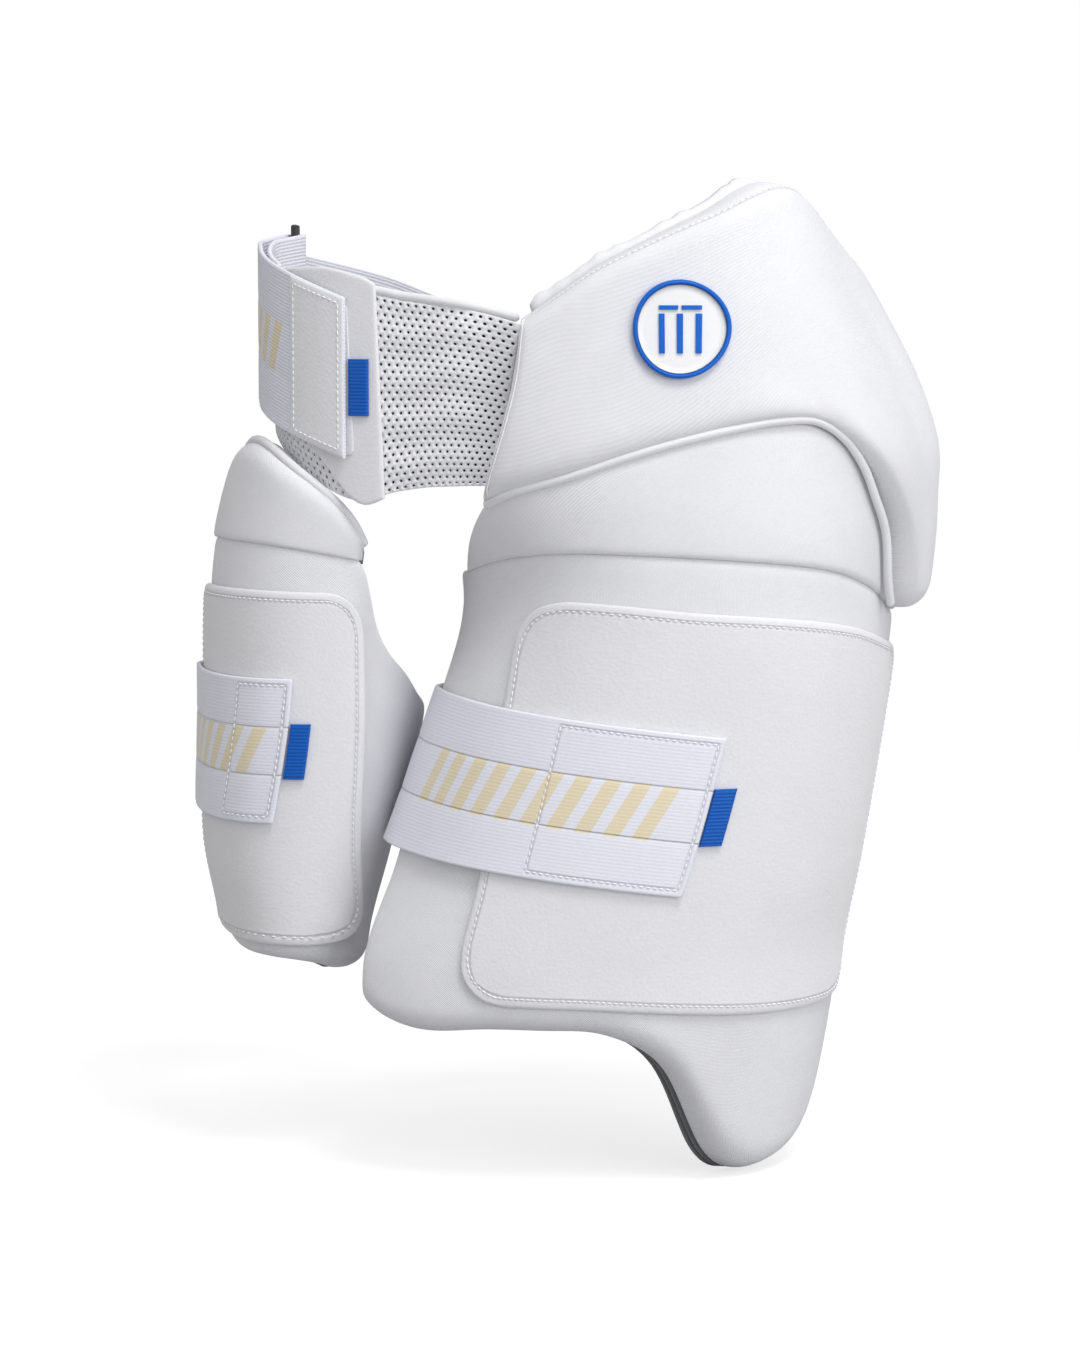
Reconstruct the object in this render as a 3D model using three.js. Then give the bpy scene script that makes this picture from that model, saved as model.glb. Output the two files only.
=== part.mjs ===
// Cricket thigh guard in the form that it takes when worn, in millimetres, +Z up. The wearer faces -Y and
// their left hip is at +X. The origin is the middle of the waist loop at belt height. A padded hip guard,
// thigh roll and thigh pad cover the outer leg, and a smaller pad the inside of the other thigh. Both hang
// from one elastic waist belt, and an elastic strap closes each pad round its thigh.
import * as THREE from "three";

// Driving sizes of the body inside the guard
const WAIST_WIDTH = 264; // inside width of the belt loop
const WAIST_DEPTH = 160; // inside depth of the belt loop
const BELT_SIDE = 150; // from the middle to the belt's far side
const THIGH_WIDTH = 180; // width of the outer leg's hollow
const THIGH_DEPTH = 176; // depth of the outer leg's hollow
const INNER_WIDTH = 84; // width of the inner leg's hollow
const INNER_DEPTH = 168; // depth of the inner leg's hollow
const LEG_LENGTH = 373; // from the waist line to the tongue's tip
const STANCE = 100; // how far the inner edges of both hollows stand off the middle
const FRONT = 80; // how far the hollows' fronts stand forward of the middle

// Driving sizes of the padded pieces
const HIP_RISE = 93; // from the waist line up to the hip guard's peak
const HIP_DROP = 50; // from the waist line down to its lower inner corner
const FOLD_DROP = 75; // from the waist line down to the fold under the thigh roll
const PAD_DROP = 291; // from the waist line down to the thigh pad's hem
const TONGUE_LENGTH = 71; // how far the tongue hangs below that hem
const GUARD_THICK = 18;
const FLAP_THICK = 14;
const ROLL_THICK = 20;
const PAD_THICK = 18;
const HIP_LINING = 7;
const PAD_LINING = 4;
const SCALLOP = 2.4; // height of the first foam cell's bump along the lining's top
const SCALLOP_COUNT = 12;
const LINING_SHOWS = 4; // how far the first cell stands above the hip guard's seam
const CELL_FADE = 0.7; // share of both that is gone at the last cell
const EDGE = 5; // thickness of a padded piece at its sewn edge
const INNER_FOLD_DROP = 72;
const INNER_PAD_DROP = 268;
const INNER_TOP_DROP = 20; // from the waist line down to the inner roll's top
const INNER_THICK = 12.4;
const INNER_ROLL_THICK = 14;
const INNER_LINING = 3;

// Driving sizes of the flat pieces
const PATCH_THICK = 2;
const PATCH_LENGTH = 180;
const PATCH_LEVEL = 189; // from the waist line down to the thigh patch's middle
const PATCH_CORNER = 25;
const INNER_PATCH_LENGTH = 166;
const INNER_PATCH_LEVEL = 177;
const INNER_PATCH_CORNER = 20;
const STRAP_THICK = 2.2;
const STRAP_WIDTH = 72;
const STRAP_LEVEL = 185.8;
const STRAP_SLOPE = 0.115; // fall of the thigh strap for each millimetre towards the hip
const INNER_STRAP_WIDTH = 68;
const INNER_STRAP_LEVEL = 168;
const WAIST_STRAP_WIDTH = 74;
const BELT_DROP = 45; // from the waist line down to the mesh panel's lower edge
const BELT_RISE = 42; // from the waist line up to its bound top edge
const MESH_THICK = 1.6;
const BINDING_HEIGHT = 4;
const BINDING_THICK = 3;
const ELASTIC_WIDTH = 56;
const LABEL_HEIGHT = 26;
const LABEL_LENGTH = 11;
const LABEL_THICK = 1;
const PIPING_RADIUS = 2;
const BADGE_DIAMETER = 44;
const BADGE_THICK = 2;
const BADGE_RIM = 2.4;
const RIM_HEIGHT = 1.2;
const EMBLEM_CELL = 3.1;
const EMBLEM_HEIGHT = 1;
const RING_BAR = 4;
const RING_THICK = 3.4;
const SLOT_WIDTH = 8;
const GAP = 0.3; // clearance between pieces that touch
const LINING_GAP = 1.8; // clearance between a padded piece and the lining behind it
const SEAM_GAP = 1; // from the hip guard's border down to the thigh roll's
const FOLD_GAP = 1; // width of the fold between a roll and its pad

// The outer leg's hollow, from the tongue's tip to the hip, one row a section. Its level is a share of
// LEG_LENGTH, its inner edge of STANCE, its front of FRONT, and its half width and half depth of
// THIGH_WIDTH and THIGH_DEPTH.
const LEG_SECTIONS = [
  { level: -1.0, edge: -1.36, front: -1.14, width: 0.59, depth: 0.49, square: 2.2 },
  { level: -0.885, edge: -1.26, front: -1.15, width: 0.59, depth: 0.494, square: 2.2 },
  { level: -0.759, edge: -1.15, front: -1.16, width: 0.583, depth: 0.5, square: 2.2 },
  { level: -0.697, edge: -1.09, front: -1.16, width: 0.572, depth: 0.5, square: 2.2 },
  { level: -0.584, edge: -0.86, front: -1.16, width: 0.531, depth: 0.5, square: 2.2 },
  { level: -0.383, edge: -0.59, front: -1.16, width: 0.489, depth: 0.5, square: 2.2 },
  { level: -0.298, edge: -0.48, front: -1.16, width: 0.469, depth: 0.5, square: 2.2 },
  { level: -0.239, edge: -0.47, front: -1.16, width: 0.472, depth: 0.5, square: 2.2 },
  { level: -0.18, edge: -0.57, front: -1.16, width: 0.506, depth: 0.5, square: 2.3 },
  { level: -0.123, edge: -0.72, front: -1.14, width: 0.55, depth: 0.494, square: 2.4 },
  { level: -0.048, edge: -0.88, front: -1.1, width: 0.6, depth: 0.483, square: 2.4 },
  { level: 0.013, edge: -0.99, front: -1.05, width: 0.622, depth: 0.466, square: 2.4 },
  { level: 0.083, edge: -1.04, front: -1.0, width: 0.6, depth: 0.455, square: 2.4 },
  { level: 0.169, edge: -1.06, front: -0.95, width: 0.556, depth: 0.438, square: 2.4 },
  { level: 0.265, edge: -1.01, front: -0.875, width: 0.494, depth: 0.415, square: 2.4 },
];

// The inner leg's hollow. The edge is its side next to the outer leg, and its widths follow INNER_WIDTH and
// depth.
const INNER_SECTIONS = [
  { level: -0.743, edge: -1.25, front: -0.375, width: 0.238, depth: 0.5, square: 2.6 },
  { level: -0.692, edge: -1.22, front: -0.4, width: 0.274, depth: 0.5, square: 2.6 },
  { level: -0.584, edge: -1.11, front: -0.45, width: 0.381, depth: 0.5, square: 2.6 },
  { level: -0.421, edge: -0.96, front: -0.51, width: 0.464, depth: 0.5, square: 2.6 },
  { level: -0.268, edge: -0.89, front: -0.54, width: 0.5, depth: 0.5, square: 2.6 },
  { level: -0.182, edge: -0.85, front: -0.55, width: 0.5, depth: 0.5, square: 2.6 },
  { level: -0.04, edge: -0.82, front: -0.55, width: 0.44, depth: 0.488, square: 2.6 },
];
const INNER_TURN = 4; // degrees that the inner leg's hollow is turned in plan
const BELT_SQUARE = 2.3;
const BELT_FRONT = 0.94; // share of FRONT

// The hip guard, from its seam with the belt round to its rear edge. Angles are degrees from straight
// ahead, at the lower border, and lean is how far the upper border stands further on. Low is a share of
// HIP_DROP and high of HIP_RISE.
const HIP_COLUMNS = [
  { angle: -46, lean: 21, low: -1.0, high: 0.34 },
  { angle: -38, lean: 17, low: -0.87, high: 0.38 },
  { angle: -24, lean: 11, low: -0.72, high: 0.46 },
  { angle: -8, lean: 7, low: -0.54, high: 0.57 },
  { angle: 8, lean: 5, low: -0.4, high: 0.67 },
  { angle: 24, lean: 4, low: -0.28, high: 0.78 },
  { angle: 36, lean: 4, low: -0.21, high: 0.87 },
  { angle: 44, lean: 5, low: -0.22, high: 0.95 },
  { angle: 49, lean: 8, low: -0.38, high: 1.0 },
  { angle: 53, lean: 10, low: -0.64, high: 1.0 },
  { angle: 55.5, lean: 11.5, low: -0.9, high: 0.95 },
  { angle: 58, lean: 13, low: -1.24, high: 0.83 },
  { angle: 60, lean: 16, low: -1.7, high: 0.72 },
  { angle: 63, lean: 18, low: -1.94, high: 0.67 },
  { angle: 70, lean: 18, low: -2.0, high: 0.57 },
  { angle: 82, lean: 16, low: -1.9, high: 0.46 },
  { angle: 96, lean: 14, low: -1.6, high: 0.37 },
];

// Where the hip guard lifts off its lining to cover the roll: between two angles, and between two shares of
// HIP_DROP
const FLAP_ANGLES = { from: 18, to: 42 };
const FLAP_LEVELS = { from: 0.2, to: -0.8 };
const PIPING_END = 63; // the angle at which the piping ends under the flap
const PIPING_TURN = { from: 49, to: 58, angle: 2.2 }; // the piping turns down beside the flap

// The thigh roll under it: low is the fold line, a share of FOLD_DROP. Its top follows the hip guard's
// border as far as hidden rises to 1, and then runs on below the flap at under, a share of HIP_DROP.
const ROLL_COLUMNS = [
  { angle: -74, lean: 30, low: -1.17, hidden: 0, under: -1 },
  { angle: -58, lean: 18, low: -1.09, hidden: 0, under: -1 },
  { angle: -44, lean: 12, low: -1.02, hidden: 0, under: -1 },
  { angle: -28, lean: 6, low: -0.98, hidden: 0, under: -1 },
  { angle: -10, lean: 3, low: -0.985, hidden: 0, under: -1 },
  { angle: 10, lean: 0, low: -1.01, hidden: 0, under: -1 },
  { angle: 28, lean: 0, low: -1.05, hidden: 0, under: -1 },
  { angle: 40, lean: 0, low: -1.1, hidden: 0, under: -1 },
  { angle: 48, lean: 0, low: -1.16, hidden: 0, under: -1 },
  { angle: 56, lean: 0, low: -1.23, hidden: 1, under: -0.7 },
  { angle: 68, lean: 0, low: -1.34, hidden: 1, under: -0.8 },
  { angle: 82, lean: 0, low: -1.4, hidden: 1, under: -0.88 },
  { angle: 98, lean: 0, low: -1.42, hidden: 1, under: -0.96 },
];

// The thigh pad and its tongue: drop is a share of PAD_DROP and tongue of TONGUE_LENGTH.
const PAD_COLUMNS = [
  { angle: -60, lean: -24, drop: -0.96, tongue: 0 },
  { angle: -57, lean: -22, drop: -0.983, tongue: 0 },
  { angle: -50, lean: -18, drop: -1.0, tongue: 0 },
  { angle: -40, lean: -12, drop: -1.008, tongue: 0 },
  { angle: -24, lean: -6, drop: -1.0, tongue: 0 },
  { angle: -8, lean: -2, drop: -1.0, tongue: 0 },
  { angle: 6, lean: 0, drop: -1.0, tongue: -0.01 },
  { angle: 16, lean: 0, drop: -1.0, tongue: -0.08 },
  { angle: 23, lean: 0, drop: -1.0, tongue: -0.16 },
  { angle: 29, lean: 0, drop: -1.0, tongue: -0.27 },
  { angle: 34, lean: 0, drop: -1.0, tongue: -0.42 },
  { angle: 40, lean: 0, drop: -1.0, tongue: -0.63 },
  { angle: 46, lean: 0, drop: -1.0, tongue: -0.82 },
  { angle: 52, lean: 0, drop: -1.0, tongue: -0.94 },
  { angle: 58, lean: 0, drop: -1.0, tongue: -1.0 },
  { angle: 65, lean: 0, drop: -1.0, tongue: -1.0 },
  { angle: 71, lean: 0, drop: -1.0, tongue: -0.97 },
  { angle: 77, lean: 2, drop: -1.0, tongue: -0.89 },
  { angle: 83, lean: 5, drop: -1.0, tongue: -0.69 },
  { angle: 88, lean: 8, drop: -1.0, tongue: -0.38 },
  { angle: 92, lean: 10, drop: -1.0, tongue: 0 },
];

// The thigh patch: low and high are shares of PATCH_LENGTH from its middle.
const PATCH_COLUMNS = [
  { angle: -31, lean: -13, low: -0.49, high: 0.52 },
  { angle: -14, lean: -8, low: -0.495, high: 0.52 },
  { angle: 4, lean: -3, low: -0.5, high: 0.5 },
  { angle: 26, lean: 0, low: -0.515, high: 0.48 },
  { angle: 46, lean: 0, low: -0.53, high: 0.45 },
  { angle: 64, lean: 0, low: -0.535, high: 0.405 },
  { angle: 84, lean: 0, low: -0.53, high: 0.37 },
];

// The inner roll: high is a share of INNER_TOP_DROP and low of INNER_FOLD_DROP.
const INNER_ROLL_COLUMNS = [
  { angle: -88, lean: 0, low: -1.03, high: -2.5 },
  { angle: -70, lean: 0, low: -1.015, high: -1.65 },
  { angle: -52, lean: 0, low: -1.0, high: -1.25 },
  { angle: -36, lean: 0, low: -1.0, high: -1.1 },
  { angle: -24, lean: 0, low: -1.0, high: -1.22 },
  { angle: -14, lean: 0, low: -1.015, high: -1.65 },
  { angle: -6, lean: 0, low: -1.05, high: -2.15 },
  { angle: 0, lean: 0, low: -1.075, high: -2.55 },
  { angle: 5, lean: 0, low: -1.1, high: -3.0 },
  { angle: 8.5, lean: 0, low: -1.11, high: -3.5 },
];

// The inner pad with its wing, whose top falls away from the fold: low and wing are shares of
// INNER_PAD_DROP.
const INNER_PAD_COLUMNS = [
  { angle: -92, low: -0.963, wing: 0 },
  { angle: -66, low: -0.985, wing: 0 },
  { angle: -40, low: -1.0, wing: 0 },
  { angle: -20, low: -1.005, wing: 0 },
  { angle: -8, low: -1.0, wing: 0 },
  { angle: 0, low: -1.004, wing: 0 },
  { angle: 7, low: -1.017, wing: 0 },
  { angle: 10, low: -1.026, wing: -0.05 },
  { angle: 12.5, low: -1.03, wing: -0.12 },
  { angle: 16, low: -1.034, wing: -0.165 },
  { angle: 22, low: -1.037, wing: -0.2 },
  { angle: 32, low: -1.037, wing: -0.245 },
  { angle: 48, low: -1.03, wing: -0.27 },
  { angle: 66, low: -1.015, wing: -0.285 },
  { angle: 84, low: -0.993, wing: -0.3 },
];

// The inner patch: low and high are shares of INNER_PATCH_LENGTH from its middle.
const INNER_PATCH_COLUMNS = [
  { angle: -82, lean: 0, low: -0.476, high: 0.494 },
  { angle: -45, lean: 0, low: -0.5, high: 0.5 },
  { angle: -20, lean: 0, low: -0.497, high: 0.503 },
  { angle: -4, lean: -1, low: -0.5, high: 0.5 },
  { angle: 13, lean: -4.5, low: -0.512, high: 0.497 },
];

// The belt's mesh panel: low is a share of BELT_DROP and high of BELT_RISE.
const MESH_COLUMNS = [
  { angle: -100, lean: 0, low: -0.36, high: 1.25 },
  { angle: -87, lean: 0, low: -0.44, high: 1.25 },
  { angle: -71, lean: 0, low: -0.82, high: 1.2 },
  { angle: -57, lean: 0, low: -1.14, high: 1.16 },
  { angle: -46, lean: 0, low: -1.05, high: 1.05 },
  { angle: -38, lean: 0, low: -1.0, high: 1.0 },
  { angle: -28, lean: 4, low: -0.98, high: 0.91 },
  { angle: -20, lean: 8, low: -0.98, high: 0.79 },
];
const MESH_RISE = 5; // how far the mesh lifts off the waist to where it is sewn behind the hip guard
const MESH_RISES = { from: -46, to: -26 };
const BINDING_ENDS = { from: -49, to: -16 };

// The loop patch between the mesh and the strap's end, in shares of BELT_DROP and BELT_RISE.
const BELT_PATCH_COLUMNS = [
  { angle: -74, lean: 0, low: -0.42, high: 1.3 },
  { angle: -68, lean: 0, low: -0.56, high: 1.31 },
  { angle: -62, lean: 0, low: -0.84, high: 1.3 },
  { angle: -57, lean: 0, low: -1.12, high: 1.24 },
  { angle: -53, lean: 0, low: -1.2, high: 1.18 },
  { angle: -49, lean: -2, low: -1.12, high: 1.11 },
];

// Routes of the straps in plan: angle round the hollow and distance off it, in shares of the pad that they
// cross, and level as a share of the strap's own width or, on the inner leg, of its pad's drop.
const WAIST_LEVELS = [
  { angle: -116, level: 0.48 },
  { angle: -98, level: 0.42 },
  { angle: -83, level: 0.32 },
  { angle: -71, level: 0.21 },
  { angle: -57, level: 0.054 },
];
// The strap's two legs between the ring and its ends: how far each lifts off the belt on its way to the
// ring
const INNER_LEG = [
  { angle: -77, lift: 0 },
  { angle: -80.5, lift: 0 },
  { angle: -84, lift: 0 },
  { angle: -87.5, lift: 0.1 },
  { angle: -91, lift: 0.2 },
  { angle: -94.5, lift: 0.4 },
  { angle: -98, lift: 0.8 },
];
const OUTER_LEG = [
  { angle: -98, lift: 4.5 },
  { angle: -91, lift: 1.8 },
  { angle: -84, lift: 0.4 },
  { angle: -77, lift: 0 },
  { angle: -70, lift: 0 },
  { angle: -63, lift: 0 },
  { angle: -57, lift: 0 },
];
const RING_ANGLE = -109;
const RING_STANDOFF = 10; // from the waist to the middle of the ring's bars
const RING_TURN = 38; // degrees that the straps pull the ring round from the belt's own direction
const ELASTIC_END = [
  { angle: 97, level: 0.2 },
  { angle: 107, level: 0.17 },
  { angle: 118, level: 0.14 },
];
const ELASTIC_ROUTE = [
  { angle: 134, level: 0.02, off: 3 },
  { angle: 156, level: -0.06, off: 1.5 },
  { angle: 180, level: -0.06, off: 1.5 },
  { angle: 202, level: 0.04, off: 1.5 },
  { angle: 220, level: 0.26, off: 2 },
  { angle: 230, level: 0.4, off: 4 },
];
const STRAP_ROUTE = [
  { angle: 88, off: -0.41 },
  { angle: 96, off: -0.41 },
  { angle: 104, off: -0.37 },
  { angle: 118, off: -0.05 },
  { angle: 140, off: 0.13 },
  { angle: 180, off: 0.15 },
  { angle: 220, off: 0.18 },
  { angle: 250, off: 0.25 },
  { angle: 264, off: 0.3 },
  { angle: 274, off: 0.52 },
  { angle: 284, off: 0.86 },
];
// In front it lies on the pad, and climbs onto the patch, whose share of its thickness is under it
const STRAP_FRONT = [
  { angle: -66, over: 0 },
  { angle: -57, over: 0.15 },
  { angle: -48, over: 0.7 },
  { angle: -39, over: 1 },
  { angle: -30, over: 1 },
  { angle: -21, over: 1 },
  { angle: -12, over: 1 },
  { angle: -2, over: 1 },
  { angle: 8, over: 1 },
  { angle: 17, over: 1 },
];
const INNER_STRAP_ROUTE = [
  { angle: 74, off: -0.49, level: 1.17 },
  { angle: 82, off: -0.49, level: 1.165 },
  { angle: 92, off: -0.42, level: 1.16 },
  { angle: 107, off: 0.02, level: 1.15 },
  { angle: 128, off: 0.17, level: 1.13 },
  { angle: 156, off: 0.15, level: 1.1 },
  { angle: 182, off: 0.15, level: 1.08 },
  { angle: 206, off: 0.2, level: 1.05 },
  { angle: 232, off: 0.3, level: 1.03 },
  { angle: 252, off: 0.5, level: 1.01 },
  { angle: 264, off: 0.82, level: 1.0 },
];
const INNER_STRAP_FRONT = [
  { angle: -88, over: 0.1 },
  { angle: -79, over: 1 },
  { angle: -70, over: 1 },
  { angle: -61, over: 1 },
  { angle: -52, over: 1 },
  { angle: -44, over: 1 },
  { angle: -36, over: 1 },
  { angle: -28, over: 1 },
  { angle: -20, over: 1 },
  { angle: -13, over: 1 },
  { angle: -7, over: 1 },
];
const BADGE_PLACE = { angle: 19, level: 27 };

// The raised sign on the badge, three stumps under their bails: one letter a cell.
const EMBLEM = ["xxxxxxx", "x..x..x", "x..x..x", "x..x..x", "x..x..x", "x..x..x", "x..x..x"];

const CLOTH_WHITE = 0xefeff4;
const LOOP_WHITE = 0xe9e9ee;
const ELASTIC_WHITE = 0xdedee8;
const MESH_WHITE = 0xe6e6ec;
const LINING_GREY = 0x8f8f96;
const BLUE = 0x0055cd;
const RUBBER_WHITE = 0xf4f4f6;
const RING_GREY = 0x464648;

// The smooth value of one column at x, from rows in rising order of another
function along(rows, key, column, x) {
  const last = rows.length - 1;
  let i = 0;
  while (i < last - 1 && x > rows[i + 1][key]) i += 1;
  const before = rows[i];
  const after = rows[i + 1];
  const span = after[key] - before[key];
  const t = THREE.MathUtils.clamp((x - before[key]) / span, 0, 1);
  const slope = (j) => {
    const a = rows[Math.max(j - 1, 0)];
    const b = rows[Math.min(j + 1, last)];
    return (b[column] - a[column]) / (b[key] - a[key]);
  };
  const rise = t * t * (3 - 2 * t);
  const swing = span * t * (1 - t) * ((1 - t) * slope(i) - t * slope(i + 1));
  return before[column] + (after[column] - before[column]) * rise + swing;
}

// The smooth rise from 0 at one value of x to 1 at another
function smooth(from, to, x) {
  const t = THREE.MathUtils.clamp((x - from) / (to - from), 0, 1);
  return t * t * (3 - 2 * t);
}

// A hollow that a leg or the waist fills: squared ovals, one for each section
class Hollow {
  constructor(sections, turn = 0) {
    this.sections = sections;
    this.turn = THREE.MathUtils.degToRad(turn);
  }

  oval(z) {
    const at = (column) => along(this.sections, "z", column, z);
    return { x: at("x"), y: at("y"), rx: at("rx"), ry: at("ry"), square: at("square") };
  }

  rim(oval, degrees) {
    const angle = THREE.MathUtils.degToRad(degrees);
    const across = Math.abs(Math.sin(angle) / oval.rx) ** oval.square;
    const ahead = Math.abs(Math.cos(angle) / oval.ry) ** oval.square;
    const reach = (across + ahead) ** (-1 / oval.square);
    return new THREE.Vector2(reach * Math.sin(angle), -reach * Math.cos(angle));
  }

  // The point at an angle and a height, a distance off the hollow's wall
  point(degrees, z, off = 0) {
    const oval = this.oval(z);
    const step = 0.5;
    const run = this.rim(oval, degrees + step).sub(this.rim(oval, degrees - step)).normalize();
    const flat = this.rim(oval, degrees).add(new THREE.Vector2(run.y, -run.x).multiplyScalar(off));
    flat.rotateAround(new THREE.Vector2(), this.turn);
    return new THREE.Vector3(oval.x + flat.x, oval.y + flat.y, z);
  }

  // Millimetres round the wall for each degree
  stride(degrees, z, off = 0) {
    return this.point(degrees - 1, z, off).distanceTo(this.point(degrees + 1, z, off)) / 2;
  }
}

const leg = new Hollow(
  LEG_SECTIONS.map((s) => ({
    z: s.level * LEG_LENGTH,
    x: s.edge * STANCE + s.width * THIGH_WIDTH,
    y: s.front * FRONT + s.depth * THIGH_DEPTH,
    rx: s.width * THIGH_WIDTH,
    ry: s.depth * THIGH_DEPTH,
    square: s.square,
  })),
);

const innerLeg = new Hollow(
  INNER_SECTIONS.map((s) => ({
    z: s.level * LEG_LENGTH,
    x: s.edge * STANCE - s.width * INNER_WIDTH,
    y: s.front * FRONT + s.depth * INNER_DEPTH,
    rx: s.width * INNER_WIDTH,
    ry: s.depth * INNER_DEPTH,
    square: s.square,
  })),
  INNER_TURN,
);

const waist = new Hollow(
  [-LEG_LENGTH, LEG_LENGTH].map((z) => ({
    z,
    x: WAIST_WIDTH / 2 - BELT_SIDE,
    y: WAIST_DEPTH / 2 - BELT_FRONT * FRONT,
    rx: WAIST_WIDTH / 2,
    ry: WAIST_DEPTH / 2,
    square: BELT_SQUARE,
  })),
);

// One closed wall between two grids of points: columns run round to the left of the wearer, rows upwards
function wall(outside, inside) {
  const columns = outside.length;
  const rows = outside[0].length;
  const points = [...outside.flat(), ...inside.flat()];
  const out = (i, j) => i * rows + j;
  const back = (i, j) => columns * rows + i * rows + j;
  const faces = [];
  const quad = (a, b, c, d) => faces.push(a, b, c, a, c, d);
  for (let i = 0; i + 1 < columns; i += 1) {
    for (let j = 0; j + 1 < rows; j += 1) {
      quad(out(i, j), out(i + 1, j), out(i + 1, j + 1), out(i, j + 1));
      quad(back(i, j), back(i, j + 1), back(i + 1, j + 1), back(i + 1, j));
    }
    quad(out(i, 0), back(i, 0), back(i + 1, 0), out(i + 1, 0));
    quad(out(i, rows - 1), out(i + 1, rows - 1), back(i + 1, rows - 1), back(i, rows - 1));
  }
  for (let j = 0; j + 1 < rows; j += 1) {
    quad(out(0, j), out(0, j + 1), back(0, j + 1), back(0, j));
    quad(out(columns - 1, j), back(columns - 1, j), back(columns - 1, j + 1), out(columns - 1, j + 1));
  }
  return solid(points, faces);
}

function solid(points, faces) {
  const geometry = new THREE.BufferGeometry().setFromPoints(points);
  geometry.setIndex(faces);
  geometry.computeVertexNormals();
  return geometry;
}

// Shares from 0 to 1 with close lines at both edges, where a padded piece rounds over
function lines(stops, edge) {
  const room = edge[edge.length - 1] * 1.3;
  const between = stops.filter((s) => s > room && s < 1 - room);
  return [...edge, ...between, ...edge.map((e) => 1 - e).reverse()];
}

// A place in a rectangle moved so that its corners are round
function rounded(x, y, width, height, radius) {
  if (!radius) return [x, y];
  const sideX = x < width / 2 ? 1 : -1;
  const sideY = y < height / 2 ? 1 : -1;
  const p = (radius - (sideX > 0 ? x : width - x)) / radius;
  const q = (radius - (sideY > 0 ? y : height - y)) / radius;
  if (p <= 0 || q <= 0) return [x, y];
  const keep = Math.max(p, q) / Math.hypot(p, q);
  const inX = radius - radius * p * keep;
  const inY = radius - radius * q * keep;
  return [sideX > 0 ? inX : width - inX, sideY > 0 ? inY : height - inY];
}

// A sewn panel on a hollow: its columns hold the angle, the lean and both borders in millimetres. It starts
// at base off the wall and is thick in its middle, thinning to edge over the last run of its borders. The
// rim, where one is given, holds how far in from its borders the first lines of its surface are.
function panel({ hollow, columns, base, thick, edge, run, rim, rows, steps = 1, corner = 0 }) {
  const middles = columns.map((c) => {
    return hollow.point(c.angle + (c.lean ?? 0) / 2, (c.low + c.high) / 2, base(c.angle, 0));
  });
  let width = 0;
  const stations = columns.map((c, i) => {
    width += i ? middles[i].distanceTo(middles[i - 1]) : 0;
    return { ...c, lean: c.lean ?? 0, reach: width };
  });
  const height = Math.max(...columns.map((c) => c.high - c.low));
  const stops = [];
  for (let i = 0; i + 1 < stations.length; i += 1) {
    for (let k = 0; k < steps; k += 1) {
      stops.push(THREE.MathUtils.lerp(stations[i].reach, stations[i + 1].reach, k / steps) / width);
    }
  }
  const border = rim ?? [0, 0.3 * run, run];
  const levels = Array.from({ length: rows - 1 }, (_, j) => (j + 1) / rows);
  const across = lines(stops, border.map((r) => r / width));
  const up = lines(levels, border.map((r) => r / height));
  const outside = [];
  const inside = [];
  for (const u of across) {
    const outer = [];
    const inner = [];
    for (const v of up) {
      const [x, y] = rounded(u * width, v * height, width, height, corner);
      const at = (column) => along(stations, "reach", column, x);
      const angle = at("angle") + (at("lean") * y) / height;
      const z = THREE.MathUtils.lerp(at("low"), at("high"), y / height);
      const tall = at("high") - at("low");
      const inward = Math.min(x, width - x, (y / height) * tall, (1 - y / height) * tall);
      const bend = 1 - THREE.MathUtils.clamp(inward / run, 0, 1);
      const swell = Math.sqrt(1 - bend * bend);
      const start = base(angle, z);
      outer.push(hollow.point(angle, z, start + THREE.MathUtils.lerp(edge, thick(angle, z), swell)));
      inner.push(hollow.point(angle, z, start));
    }
    outside.push(outer);
    inside.push(inner);
  }
  return wall(outside, inside);
}

// A band of webbing: each station of its route gives the place of the middle, or of an edge at a share of
// its width
function band(stations, thickness, steps) {
  const [lower, upper] = [-0.5, 0.5].map(
    (share) => new THREE.CatmullRomCurve3(stations.map((at) => at(share)), false, "centripetal"),
  );
  const outside = [];
  const inside = [];
  for (let i = 0; i <= steps; i += 1) {
    const out = [];
    const back = [];
    for (const edge of [lower, upper]) {
      const place = edge.getPoint(i / steps);
      const run = edge.getTangent(i / steps);
      const side = new THREE.Vector3(run.y, -run.x, 0).normalize().multiplyScalar(thickness / 2);
      out.push(place.clone().add(side));
      back.push(place.clone().sub(side));
    }
    outside.push(out);
    inside.push(back);
  }
  return wall(outside, inside);
}

// A station of a strap that lies on a hollow, at an angle, level and distance off it
function onHollow(hollow, angle, level, off, width) {
  return (share) => hollow.point(angle, level + share * width, off);
}

// A round cord sewn along a route
function cord(route, radius, steps) {
  const sides = 6;
  const section = Array.from({ length: sides }, (_, i) => {
    const angle = (i / sides) * 2 * Math.PI;
    return new THREE.Vector2(radius * Math.cos(angle), radius * Math.sin(angle));
  });
  const curve = new THREE.CatmullRomCurve3(route, false, "centripetal");
  return new THREE.ExtrudeGeometry(new THREE.Shape(section), {
    steps,
    extrudePath: curve,
    bevelEnabled: false,
  });
}

// A place on the hip guard's front, from millimetres across and up from the badge's centre
function onBadge(across, up, off) {
  const { angle, level } = BADGE_PLACE;
  const surface = guardBase(angle, level) + GUARD_THICK + GAP;
  const stride = leg.stride(angle, level, surface);
  const drift = leg.point(angle, level + up, surface).x - leg.point(angle, level, surface).x;
  return leg.point(angle + (across - drift) / stride, level + up, surface + off);
}

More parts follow.
